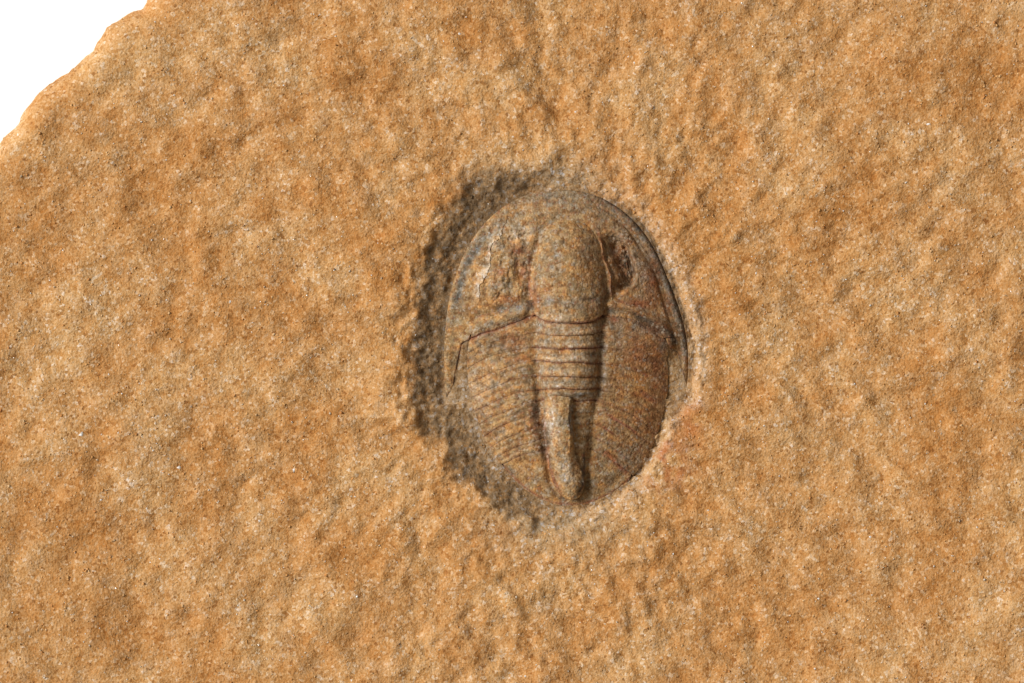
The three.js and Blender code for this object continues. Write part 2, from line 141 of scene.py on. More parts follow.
def noise(points: Array, size: float, seed: int) -> Array:
    """Gradient noise: each lattice corner holds a random slope, and the slopes' planes are blended.

    Args:
        points: Rows of coordinates, in two or three dimensions.
        size: Lattice spacing.
        seed: Picks the pattern.

    Returns:
        Values from about -1 to 1, with a mean of 0.
    """
    scaled = points / size
    cell = np.floor(scaled)
    offset = scaled - cell
    blend = offset**3 * (offset * (offset * 6 - 15) + 10)
    total = np.zeros(points.shape[:-1])
    for corner in product((0, 1), repeat=points.shape[-1]):
        here = np.array(corner)
        weight = np.prod(np.where(here == 1, blend, 1 - blend), axis=-1)
        for axis in range(points.shape[-1]):
            slope = hashed(cell + here, seed + 101 * (axis + 1)) * 2 - 1
            total += weight * slope * (offset[..., axis] - here[axis])
    return 1.7 * total


def fractal(points: Array, size: float, seed: int, octaves: int = 3, keep: float = 0.5) -> Array:
    """Noise in octaves, each at half the size and keep times the height of the one before.

    Args:
        points: Rows of coordinates.
        size: Lattice spacing of the first octave.
        seed: Picks the pattern.
        octaves: How many are added.
        keep: Height of an octave as a share of the one before.

    Returns:
        Values from about -1 to 1.
    """
    return sum(keep**k * noise(points, size / 2**k, seed + 17 * k) for k in range(octaves))


def grains(points: Array, size: float, seed: int) -> Array:
    """Packed rounded grains: 1 in the middle of each grain, falling to 0 half way to its neighbours.

    Each lattice cell holds one point at a random place. The value is 1 minus the square of the distance to
    the nearest point over the lattice spacing.

    Args:
        points: Rows of coordinates.
        size: Lattice spacing.
        seed: Picks the pattern.

    Returns:
        Values from 0 to 1.
    """
    scaled = points / size
    cell = np.floor(scaled)
    nearest = np.full(points.shape[:-1], 9.0)
    for step in product((-1, 0, 1), repeat=points.shape[-1]):
        there = cell + np.array(step)
        squared = sum(
            (there[..., axis] + hashed(there, seed + 31 * (axis + 1)) - scaled[..., axis]) ** 2
            for axis in range(points.shape[-1])
        )
        nearest = np.minimum(nearest, squared)
    return np.clip(1 - nearest, 0, 1)


# ---- Curves in plan ----


def spline(points: Array, t: Array, tension: float = 0.5, closed: bool = False) -> Array:
    """A Catmull-Rom curve: a cubic between each two points, whose slope at a point is tension times the
    step between the points beside it.

    Args:
        points: The points that it passes through, as rows.
        t: Places on it, from 0 to 1.
        tension: Slope factor.
        closed: Whether the last point joins the first.

    Returns:
        The points at t, as rows.
    """
    count = len(points)
    place = np.clip(t, 0, 1) * (count if closed else count - 1)
    first = np.minimum(np.floor(place).astype(int), count - (1 if closed else 2))
    share = (place - first)[:, None]
    steps = [first + k for k in (-1, 0, 1, 2)]
    a, b, c, d = [points[s % count] if closed else points[np.clip(s, 0, count - 1)] for s in steps]
    slope_b, slope_c = tension * (c - a), tension * (d - b)
    square, cube = share**2, share**3
    return (
        b + slope_b * share + (3 * (c - b) - 2 * slope_b - slope_c) * square
        + (2 * (b - c) + slope_b + slope_c) * cube
    )


def path_distance(x: Array, y: Array, path: Path) -> tuple[Array, Array]:
    """How far points lie from a path of straight steps.

    Args:
        x: Across the animal.
        y: Towards the head.
        path: The path's corners.

    Returns:
        The distance, above 0 to the left of the path and below 0 to its right, and the share of the way
        along the path of its nearest point.
    """
    best = np.full(np.shape(x), 1e9)
    signed = np.zeros(np.shape(x))
    along = np.zeros(np.shape(x))
    for number, ((ax, ay), (bx, by)) in enumerate(zip(path, path[1:])):
        dx, dy = bx - ax, by - ay
        t = np.clip(((x - ax) * dx + (y - ay) * dy) / (dx * dx + dy * dy), 0, 1)
        away = np.hypot(x - ax - t * dx, y - ay - t * dy)
        side = np.sign(dx * (y - ay) - dy * (x - ax))
        closer = away < best
        best = np.where(closer, away, best)
        signed = np.where(closer, away * side, signed)
        along = np.where(closer, (number + t) / (len(path) - 1), along)
    return signed, along


# ---- The animal's plan ----


class Flank(Enum):
    """The animal's sides, with the sign of x on each."""

    LEFT = -1
    RIGHT = 1

    def turn(self, rise: Array) -> Array:
        """The turn that a rising angle is on this side."""
        return math.pi - rise if self is Flank.LEFT else rise


@dataclass(frozen=True)
class Outline:
    """A superellipse round the animal, in body lengths: its reach fore and aft, and each side's half width
    and exponent."""

    reach: float
    width: dict[Flank, float]
    power: dict[Flank, float]


LEFT, RIGHT = Flank

HEAD_OUTLINE = Outline(0.537, {LEFT: 0.3875, RIGHT: 0.3825}, {LEFT: 2.3, RIGHT: 1.95})
TRUNK_OUTLINE = Outline(0.455, {LEFT: 0.3175, RIGHT: 0.315}, {LEFT: 1.85, RIGHT: 2.15})

FLATTENING = 0.27  # mm off the head's right flank
FLAT_TURN, FLAT_REACH = 32.0, 22.0  # degrees: the flattened flank's middle and reach

# Where the first line between segments meets the margin, and the drop to the last one, in body lengths
MARGIN_SPAN = {LEFT: (0.032, 0.397), RIGHT: (0.02, 0.42)}

# How far the genal spines' inner edges have swung out, at shares of the way to their tips
GENAL_SWING = {
    LEFT: ([0, 0.05, 0.33, 0.56, 0.78, 1], [0, 0.24, 0.33, 0.435, 0.59, 0.9]),
    RIGHT: ([0, 0.12, 0.2, 0.46, 0.75, 1], [0, 0.05, 0.44, 0.57, 0.87, 0.96]),
}


NOT_SHARES = {"length", "level", "axis_share", "spine_tip", "shell"}  # the plan's own sizes and angles


@dataclass
class BodyPlan:
    """Where the animal lies, and the shapes in plan and the heights that its plates share. Its lengths are
    given as shares of the body length, but for those in NOT_SHARES."""

    length: float
    centre: Array
    level: float  # the slab's mean surface
    widest: float = -0.04
    head_rear: float = 0.081
    tail_front: float = -0.314
    glabella_length: float = 0.33
    glabella_half: float = 0.12
    occipital_furrow: float = 0.147
    axis_half: float = 0.105
    axis_taper: float = 0.0525
    axis_end: float = -0.4725
    axis_round: float = 0.0925
    axis_share: float = 0.3  # how much of a line's lateral range lies on the axis
    spine_tip: float = math.radians(-23.5)  # the rising angle at which the genal spines end
    vault_rise: float = 0.0625  # of the middle over the rim
    axis_rise: float = 0.0425
    tail_axis_rise: float = 0.013
    furrow: float = 0.01
    shell: float = 0.4  # mm
    turns: Array = field(init=False)
    head_table: Array = field(init=False)
    trunk_table: Array = field(init=False)

    @classmethod
    def from_frame(cls) -> "BodyPlan":
        """Reads the animal's length, centre and level from the boxes of its plates and the slab."""
        front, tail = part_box("cranidium")[1].y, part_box("pygidium")[0].y
        length = (front - tail) / METRES / (HEAD_SHARE + TAIL_SHARE)
        left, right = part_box("left_free_cheek")[0].x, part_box("right_free_cheek")[1].x
        lean = HEAD_OUTLINE.width[LEFT] - HEAD_OUTLINE.width[RIGHT]
        across = (left + right) / METRES / 2 + lean * length / 2
        centre = np.array([across, front / METRES - HEAD_SHARE * length])
        return cls(length, centre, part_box("stone_slab")[1].z / METRES - Slab.swell * Slab.crest)

    def __post_init__(self) -> None:
        """Turns the shares of the length into millimetres and tabulates both outlines."""
        for name, share in vars(self).items():
            if isinstance(share, float) and name not in NOT_SHARES:
                setattr(self, name, share * self.length)
        self.turns = np.linspace(-math.pi, math.pi, 5761)
        self.head_table = self.tabulate(HEAD_OUTLINE)
        self.trunk_table = self.tabulate(TRUNK_OUTLINE)

    def tabulate(self, outline: Outline) -> Array:
        """Distance from the animal's centre to an outline, by halving the interval that holds it.

        Args:
            outline: A superellipse centred at the widest point's y.

        Returns:
            The distance at each of the tabulated turns.
        """
        across, along = np.cos(self.turns), np.sin(self.turns)
        left = across < 0
        width = np.where(left, outline.width[LEFT], outline.width[RIGHT]) * self.length
        power = np.where(left, outline.power[LEFT], outline.power[RIGHT])
        low, high = np.zeros_like(across), np.full_like(across, self.length)
        for _ in range(40):
            middle = (low + high) / 2
            y = (middle * along - self.widest) / (outline.reach * self.length)
            outside = np.abs(middle * across / width) ** power + np.abs(y) ** power > 1
            high = np.where(outside, middle, high)
            low = np.where(outside, low, middle)
        return low

    def head_radius(self, angle: Array) -> Array:
        """Distance to the head's outline, at turns from the x axis. The right flank is a little flattened."""
        turn = np.angle(np.exp(1j * np.asarray(angle)))
        flat = FLATTENING * bump(np.degrees(turn) - FLAT_TURN, FLAT_REACH)
        return np.interp(turn, self.turns, self.head_table) - flat

    def trunk_radius(self, angle: Array) -> Array:
        """Distance to the trunk's outline, at turns from the x axis."""
        return np.interp(np.angle(np.exp(1j * np.asarray(angle))), self.turns, self.trunk_table)

    def blended_radius(self, angle: Array, low: float, high: float) -> Array:
        """The trunk's outline below the low rising angle, the head's above the high one, in degrees."""
        rising = np.degrees(np.arctan2(np.sin(angle), np.abs(np.cos(angle))))
        return lerp(self.trunk_radius(angle), self.head_radius(angle), smoothstep(rising, low, high))

    def body_radius(self, angle: Array) -> Array:
        """The whole animal's outline, with its genal spines."""
        tip = math.degrees(self.spine_tip)
        return self.blended_radius(angle, tip - 5, tip)

    def axis_half_width(self, y: Array) -> Array:
        """Half the width of the axial lobe: a taper with a power of the share of its length, and an
        elliptical end."""
        share = np.clip((self.head_rear - y) / (self.head_rear - self.axis_end), 0, 1)
        rounding = np.clip((self.axis_end + self.axis_round - y) / self.axis_round, 0, 1)
        return (self.axis_half - self.axis_taper * share**1.3) * np.sqrt(1 - rounding**2)

    def inside_glabella(self, x: Array, y: Array) -> Array:
        """1 in the middle of the glabella's rear edge, 0 at its furrow and below 0 outside."""
        share = np.clip((y - self.head_rear) / self.glabella_length, 0, 1.5)
        return 1 - (x / self.glabella_half) ** 2 - share**3.6

    def line_y(self, number: Array) -> Array:
        """Where a line between segments crosses the axis."""
        share = number / SEGMENTS
        even = lerp(self.head_rear, self.tail_front, share) - 0.01 * self.length * share * (1 - share)
        return even - 0.2 * bump(number - 4.2, 1.9) - 0.1 * bump(number, 0.8)

    def margin_point(self, number: Array, flank: Flank) -> tuple[Array, Array]:
        """Where a line between segments meets the trunk's margin. Lines crowd towards the tail."""
        fall = 1 - (1 - number / SEGMENTS) ** 1.25
        top, drop = MARGIN_SPAN[flank]
        y = (top - drop * fall) * self.length
        power = TRUNK_OUTLINE.power[flank]
        share = np.abs((y - self.widest) / (TRUNK_OUTLINE.reach * self.length)) ** power
        x = flank.value * TRUNK_OUTLINE.width[flank] * self.length * (1 - share) ** (1 / power)
        return x, y

    def line_point(self, number: Array, lateral: Array) -> tuple[Array, Array]:
        """A point of a line between segments.

        It is a shallow parabola over the axis, and a quadratic curve that sweeps back over the pleura.

        Args:
            number: The line, from 0 at the head's rear edge.
            lateral: From -1 at the left margin to 1 at the right.

        Returns:
            x and y.
        """
        y = self.line_y(number)
        half = self.axis_half_width(y)
        advance = 0.0275 * self.length * np.exp(-number / 1.2)
        across = np.clip(lateral / self.axis_share, -1, 1)
        flat = 2 + 2 * falling(number, 0.0, 1.5)
        x_axis, y_axis = across * half, y + advance * np.abs(across) ** flat
        sign = np.where(lateral < 0, -1, 1)
        left, right = (self.margin_point(number, flank) for flank in Flank)
        end_x, end_y = (np.where(sign < 0, *ends) for ends in zip(left, right))
        start_x, start_y = sign * half, y + advance
        bend_x = lerp(start_x, end_x, 0.6)
        steep = 0.55 * (sign < 0) * falling(number, 0.0, 1.5)
        bend_y = lerp(start_y, end_y, 0.1 + 0.4 * number / SEGMENTS + steep)
        t = np.clip((np.abs(lateral) - self.axis_share) / (1 - self.axis_share), 0, 1)
        x_side = (1 - t) ** 2 * start_x + 2 * t * (1 - t) * bend_x + t**2 * end_x
        y_side = (1 - t) ** 2 * start_y + 2 * t * (1 - t) * bend_y + t**2 * end_y
        on_axis = np.abs(lateral) <= self.axis_share
        return np.where(on_axis, x_axis, x_side), np.where(on_axis, y_axis, y_side)

    def genal_inner(self, rise: Array, flank: Flank) -> tuple[Array, float]:
        """The genal spine's inner edge: it leaves the trunk's margin and swings out with a power of the way.

        Args:
            rise: Angles above the nearer side's x axis.
            flank: The side.

        Returns:
            Its distance from the centre, and the rising angle of the corner where it begins.
        """
        x, y = self.margin_point(0.0, flank)
        corner = math.atan2(y, abs(x)) - math.radians(1.5)
        turn = flank.turn(rise)
        share = np.clip((corner - rise) / (corner - self.spine_tip), 0, 1)
        swing = np.interp(share, *GENAL_SWING[flank])
        return lerp(self.trunk_radius(turn) + 0.06, self.head_radius(turn) - 0.03, swing), corner

    def rim_height(self, angle: Array) -> Array:
        """Height of the rim, which sits deeper on the left."""
        return self.level - 0.33 + 0.17 * np.cos(angle) - 0.04 * np.sin(angle)

    def vault(self, x: Array, y: Array) -> Array:
        """The smooth vault that all plates share: it falls with a power of the distance to the rim."""
        angle = np.arctan2(y, x)
        share = np.hypot(x, y) / self.blended_radius(angle, -12, 8)
        fall = np.where(share < 1, np.abs(share) ** 2.6, 1 + 0.4 * (share - 1))
        return self.rim_height(angle) + self.vault_rise * (1 - fall)

    def lobe(self, x: Array, half: Array) -> Array:
        """Rounded profile across a lobe: 1 in the middle, 0 at its furrows."""
        inside = np.clip(1 - (x / np.maximum(half, 1e-6)) ** 2, 0, 1)
        return np.where(half > 1e-6, inside**0.78, 0)

    def axis_height(self, y: Array) -> Array:
        """How far the axial lobe stands above the pleurae: less behind the spine's base."""
        base = self.line_y(SPINE_SEGMENT) + 0.005 * self.length
        return lerp(self.tail_axis_rise, self.axis_rise, smoothstep(y, base, base + 0.015 * self.length))

    def settle(self, x: Array, y: Array) -> tuple[Array, Array]:
        """Moves plan points by a slow noise, which fades at the outline, so no line is quite regular."""
        points = paired(x, y)
        inside = 1 - np.hypot(x, y) / self.body_radius(np.arctan2(y, x))
        reach = 0.12 * smoothstep(inside, 0, 0.15)
        dx = reach * (fractal(points, 2.6, 11, 3) - 0.02)
        dy = reach * fractal(points, 2.2, 12, 3)
        return x + dx, y + dy


# ---- Meshes ----


@dataclass
class Surface:
    """Vertices in millimetres, four-sided and three-sided faces, and named masks on the vertices."""

    points: Array
    quads: Array
    triangles: Array = field(default_factory=lambda: np.zeros((0, 3), int))
    masks: Masks = field(default_factory=dict)

    def joined(self, other: "Surface") -> "Surface":
        """Both surfaces as one."""
        shift = len(self.points)
        masks = {
            name: np.concatenate([mask, other.masks.get(name, np.zeros(len(other.points)))])
            for name, mask in self.masks.items()
        }
        return Surface(
            np.concatenate([self.points, other.points]),
            np.concatenate([self.quads, other.quads + shift]),
            np.concatenate([self.triangles, other.triangles + shift]),
            masks,
        )

    def to_object(self, name: str, crease: float) -> bpy.types.Object:
        """Writes the surface as a smooth mesh in metres.

        Args:
            name: The piece's name.
            crease: Faces that meet at more than this angle, in degrees, keep a sharp edge.

        Returns:
            The new object, linked to the scene.
        """
        mesh = bpy.data.meshes.new(name)
        loops = np.concatenate([self.quads.ravel(), self.triangles.ravel()])
        sizes = np.concatenate([np.full(len(self.quads), 4), np.full(len(self.triangles), 3)])
        mesh.vertices.add(len(self.points))
        mesh.vertices.foreach_set("co", (self.points * METRES).astype(np.float32).ravel())
        mesh.loops.add(len(loops))
        mesh.loops.foreach_set("vertex_index", loops.astype(np.int32))
        mesh.polygons.add(len(sizes))
        mesh.polygons.foreach_set("loop_start", (np.cumsum(sizes) - sizes).astype(np.int32))
        for key, mask in self.masks.items():
            attribute = mesh.attributes.new(key, "FLOAT", "POINT")
            attribute.data.foreach_set("value", np.clip(mask, 0, 1).astype(np.float32))
        mesh.update(calc_edges=True)
        mesh.validate()
        mesh.shade_smooth()
        mesh.set_sharp_from_angle(angle=math.radians(crease))
        piece = bpy.data.objects.new(name, mesh)
        bpy.context.scene.collection.objects.link(piece)
        return piece


def dress(piece: bpy.types.Object, material: bpy.types.Material, nodes: list[str]) -> None:
    """Gives a piece its material and its place in the frame, and reports it.

    Args:
        piece: The finished object.
        material: What it is made of.
        nodes: The frame's nodes that it stands for.
    """
    piece.data.materials.append(material)
    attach(piece, "root")
    if nodes:
        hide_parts(*nodes)
    count = sum(len(polygon.vertices) - 2 for polygon in piece.data.polygons)
    log.info("%s: %d triangles, stands for %s", piece.name, count, ", ".join(nodes) or "nothing")


def shell_surface(x: Array, y: Array, top: Array, bottom: Array, masks: Masks) -> Surface:
    """A closed shell: an upper grid, a lower grid and the walls between their edges.

    Args:
        x: Across, in rows from front to rear and columns from left to right.
        y: Towards the head.
        top: Heights of the upper grid.
        bottom: Heights of the lower grid.
        masks: Values on the grid.

    Returns:
        The shell.
    """
    rows, columns = x.shape
    count = x.size
    index = np.arange(count).reshape(rows, columns)
    a, b, c, d = index[:-1, :-1], index[:-1, 1:], index[1:, 1:], index[1:, :-1]
    upper = np.stack([a, d, c, b], -1).reshape(-1, 4)
    lower = np.stack([a, b, c, d], -1).reshape(-1, 4) + count
    rim = np.concatenate([index[0, :-1], index[:-1, -1], index[-1, :0:-1], index[:0:-1, 0]])
    after = np.roll(rim, -1)
    walls = np.stack([rim, after, after + count, rim + count], -1)
    plan = paired(x.ravel(), y.ravel())
    points = np.concatenate([np.column_stack([plan, z.ravel()]) for z in (top, bottom)])
    doubled = {name: np.tile(mask.ravel(), 2) for name, mask in masks.items()}
    return Surface(points, np.concatenate([upper, lower, walls]), masks=doubled)


def grown(count: int) -> Array:
    """Shares from 0 to 1 that crowd at both ends: half of 1 minus the cosine of a half turn."""
    t = np.linspace(0, 1, count)
    return lerp(t, 0.5 - 0.5 * np.cos(math.pi * t), 0.7)


# ---- Stains on the shell, with painted shade and highlights ----


@dataclass(frozen=True)
class Stroke:
    """A stain along a path: the path's corners and its width in millimetres on the animal, its strength,
    and how much of the path fades in and out."""

    path: Path
    width: float
    strength: float = 1.0
    fade: float = 0.15

    def at(self, x: Array, y: Array) -> Array:
        """The stroke's strength at points."""
        signed, along = path_distance(x, y, self.path)
        ends = smoothstep(along, -0.01, self.fade) * falling(along, 1 - self.fade, 1.01)
        return self.strength * bump(signed, self.width) * ends


@dataclass(frozen=True)
class Patch:
    """A round stain: its centre, its reach across and along in millimetres, and its strength."""

    x: float
    y: float
    across: float
    along: float
    strength: float = 1.0

    def at(self, x: Array, y: Array) -> Array:
        """The patch's strength at points."""
        dx, dy = (x - self.x) / self.across, (y - self.y) / self.along
        return self.strength * np.exp(-(dx**2 + dy**2))


# Millimetres on the animal.
BROKEN_RIDGE: Path = [
    (0.4, 8.3), (1.55, 7.85), (1.83, 7.35), (2.05, 6.6), (2.2, 5.85), (2.43, 5.1), (2.6, 4.35), (2.58, 3.75),
    (2.73, 3.15),
]
PIT_EDGE: Path = [(2.2, 8.0), (3.1, 7.3), (3.85, 6.4), (4.2, 5.5), (4.25, 4.5), (4.0, 3.8), (3.3, 3.2)]
# The back slope of the head's right rear border, which is painted dark as shade.
RIGHT_BORDER_SHADED_SLOPE: Path = [(3.6, 2.15), (4.75, 1.85), (5.87, 1.3), (6.6, 0.65), (6.85, 0.0)]
LEFT_GENAL_LINE: Path = [(-6.45, 0.45), (-6.7, 0.19), (-6.83, -0.6), (-6.92, -1.4), (-7.0, -2.2)]
LEFT_BORDER_BAND: Path = [(-2.3, 2.5), (-3.4, 2.6), (-4.5, 2.3)]
# The outer slope of the right axial furrow, which faces the light: blue-grey, and painted paler as a
# highlight.
RIGHT_FURROW_LIT_SLOPE: Path = [(2.2, 1.9), (2.25, 0.0), (2.15, -2.0), (1.95, -3.6)]
UNDER_PIT = Patch(3.2, 5.4, 1.5, 2.6, 0.8)  # where the stone beneath the cranidium's pit is lower

STAINS_AND_PAINTED_LIGHT: dict[str, list[Stroke | Patch]] = {
    "rust": [
        Patch(-3.1, 6.1, 0.7, 0.35, 0.6), Patch(-2.8, 4.7, 0.35, 0.5, 0.65), Patch(-3.6, 3.0, 0.6, 0.3, 0.6),
        Patch(-4.2, 4.7, 0.35, 0.3, 0.6), Patch(-3.2, 5.1, 0.2, 0.2, 0.6), Patch(2.9, 1.75, 0.28, 0.2, 1.0),
        Patch(-3.4, 0.4, 0.9, 0.5, 0.6), Patch(-3.0, -0.8, 0.9, 0.3, 0.5), Patch(4.4, -0.4, 0.8, 0.9, 0.6),
        Patch(3.1, 5.4, 0.5, 1.3, 0.5), Patch(5.2, 4.4, 0.5, 1.3, 0.65), Patch(4.4, 2.8, 0.9, 0.3, 0.8),
        Patch(6.2, 2.6, 0.3, 0.8, 0.6), Patch(5.6, 1.2, 0.8, 0.5, 0.5), Patch(5.6, -1.2, 0.6, 1.8, 0.45),
        # The patch at (-1.95, -4.6) darkens the left axial furrow beside the spine's base in rust colour,
        # partly as painted shade.
        Patch(-1.95, -4.6, 0.3, 1.2, 0.5), Patch(-2.15, 3.2, 0.35, 0.9, 0.6),
        Stroke([(-6.2, 1.83), (-5.3, 2.06), (-4.4, 2.25)], 0.06, 0.6),
        Stroke(BROKEN_RIDGE[1:], 0.09, 0.5, 0.05), Stroke([(3.0, 2.95), (4.3, 2.7), (5.0, 2.5)], 0.12, 0.7),
        Patch(-1.3, 3.6, 0.5, 0.4, 0.35), Stroke([(2.3, -4.0), (3.4, -4.75), (4.5, -5.4)], 0.09, 0.9),
        Stroke([(4.5, -2.75), (5.6, -3.5)], 0.16, 0.8), Stroke([(3.9, -1.1), (5.25, -1.9)], 0.08, 0.7),
        Stroke([(2.1, -4.9), (2.9, -5.4)], 0.08, 0.8),
        Stroke([(2.0, -6.4), (2.6, -6.8), (3.1, -7.3), (3.9, -8.1)], 0.16, 0.7),
        Stroke([(-1.45, -4.0), (-1.5, -5.4), (-1.3, -7.0), (-0.9, -8.3), (-0.3, -9.4)], 0.13, 0.7),
        Stroke([(-2.4, 6.0), (-2.45, 4.5), (-2.3, 2.7)], 0.1, 0.6),
    ],
    "grey": [
        Stroke(LEFT_BORDER_BAND, 0.25, 1.0), Stroke([(-4.6, 1.7), (-5.4, 1.4), (-6.4, 1.0)], 0.2, 0.7),
        Stroke([(2.4, 2.35), (3.6, 2.2)], 0.18, 0.6), Patch(4.3, 1.2, 0.6, 0.35, 0.8),
        Patch(6.0, 0.2, 0.25, 0.5, 0.8), Stroke(RIGHT_FURROW_LIT_SLOPE, 0.22, 0.4),
        Stroke([(-3.4, 8.8), (-5.3, 6.7), (-6.2, 5.5), (-6.56, 4.4), (-6.8, 3.2), (-7.0, 2.2)], 0.32, 0.95),
        Patch(-0.5, 9.0, 3.0, 0.7, 0.45),
        Stroke([(-2.0, 2.9), (-0.8, 2.85), (0.6, 2.8), (2.0, 2.9)], 0.34, 0.6, 0.02),
        Patch(1.3, 6.0, 0.7, 0.7, 0.3), Patch(-4.3, 3.9, 0.5, 0.35, 0.5), Patch(-1.0, 5.5, 0.6, 1.0, 0.3),
        Patch(3.2, 7.2, 0.5, 0.5, 0.4), Stroke([(0.28, -3.4), (0.2, -4.4), (0.2, -5.6)], 0.13, 0.8),
        Patch(3.6, -7.0, 0.8, 0.6, 0.4), Patch(-1.2, 9.5, 2.6, 0.35, 0.6), Patch(3.0, 0.9, 0.5, 0.9, 0.4),
    ],
    "ochre": [
        Patch(0.6, 6.6, 0.5, 0.9, 0.8), Patch(1.0, 4.7, 0.6, 0.6, 0.7), Patch(-4.6, 2.9, 1.1, 0.4, 0.7),
        Patch(-5.6, 3.9, 0.35, 1.2, 0.7), Patch(4.8, 6.0, 0.4, 1.0, 0.4), Patch(-2.6, -7.6, 0.5, 0.7, 0.6),
        Patch(4.3, -2.2, 1.3, 2.6, 0.5), Patch(-2.5, 8.9, 0.8, 0.25, 0.8),
        Stroke([(0.47, -3.5), (0.4, -4.6), (0.45, -5.8)], 0.07, 1.0), Patch(0.5, -7.6, 0.25, 0.8, 0.5),
    ],
    "pale": [
        Patch(-5.58, 4.5, 0.11, 0.2, 1.6),
        Stroke([(2.9, 2.78), (4.4, 2.44), (5.5, 2.1), (6.17, 1.58)], 0.12, 0.4),
        # The stroke along the right axial furrow is a painted highlight on its lit outer slope.
        Stroke(RIGHT_FURROW_LIT_SLOPE, 0.2, 0.35), Patch(-1.0, -5.0, 0.5, 1.4, 0.6), Patch(-0.1, -7.6, 0.5, 0.9, 0.6),
        Stroke([(-2.6, 1.75), (-4.2, 1.35), (-5.6, 0.9), (-6.8, 0.4)], 0.2, 0.4),
        Patch(-4.7, 6.9, 0.3, 0.8, 0.5), Patch(-2.9, 7.3, 0.9, 0.6, 0.35), Patch(-0.9, 1.8, 0.8, 0.5, 0.5),
        Patch(-5.4, -2.4, 0.9, 1.3, 0.3), Patch(4.7, 5.6, 0.45, 1.5, 0.45),
    ],
    "soot": [
        # The stroke along the right rear border is painted shade on its back slope, which faces away from the
        # light.
        Stroke([(-2.4, 3.1), (-2.35, 2.3)], 0.2, 1.2), Stroke(RIGHT_BORDER_SHADED_SLOPE, 0.26, 0.95),
        Patch(-3.3, 5.5, 0.16, 0.2, 0.9),
        Stroke([(4.2, 7.1), (5.1, 5.7), (5.8, 4.3), (6.35, 3.2)], 0.09, 0.5),
        # Painted shadow: a thin dark line along the spine's right edge, towards its tip.
        Stroke([(0.95, -6.2), (1.0, -7.4), (0.9, -8.6), (0.5, -9.3)], 0.12, 0.9),
        # The stroke left of the spine is painted shade in the left axial furrow.
        Stroke([(-1.8, -3.9), (-1.75, -5.6), (-1.5, -7.2)], 0.13, 0.5), Patch(3.0, 3.7, 0.5, 0.4, 0.5),
        # The faint patch right of the spine's base is painted shade, where the axis's right flank turns from
        # the light.
        Patch(3.75, 5.1, 0.5, 1.4, 1.0), Patch(1.1, -4.3, 0.6, 1.2, 0.12), Patch(-2.6, -2.1, 0.5, 0.5, 0.6),
        Patch(-1.35, -5.6, 0.25, 0.7, 0.8), Stroke(LEFT_GENAL_LINE, 0.09, 0.9, 0.05),
        Patch(-4.8, 0.7, 1.4, 0.35, 0.25),
        Stroke([(-5.3, 6.7), (-6.2, 5.5), (-6.56, 4.4), (-6.8, 3.2), (-7.0, 2.2)], 0.3, 0.3),
        # The first patch here is painted shade in the lower left axial furrow.
        Patch(-1.95, -3.8, 0.4, 1.8, 0.7), Patch(1.0, 5.5, 0.6, 2.0, 0.35),
    ],
}


def stains(x: Array, y: Array) -> Masks:
    """Every stain's masks, painted shade and highlights among them, at points on the animal, each the
    strongest of its strokes and patches.
    """
    return {name: np.max([mark.at(x, y) for mark in marks], axis=0) for name, marks in STAINS_AND_PAINTED_LIGHT.items()}


# ---- The animal's plates ----


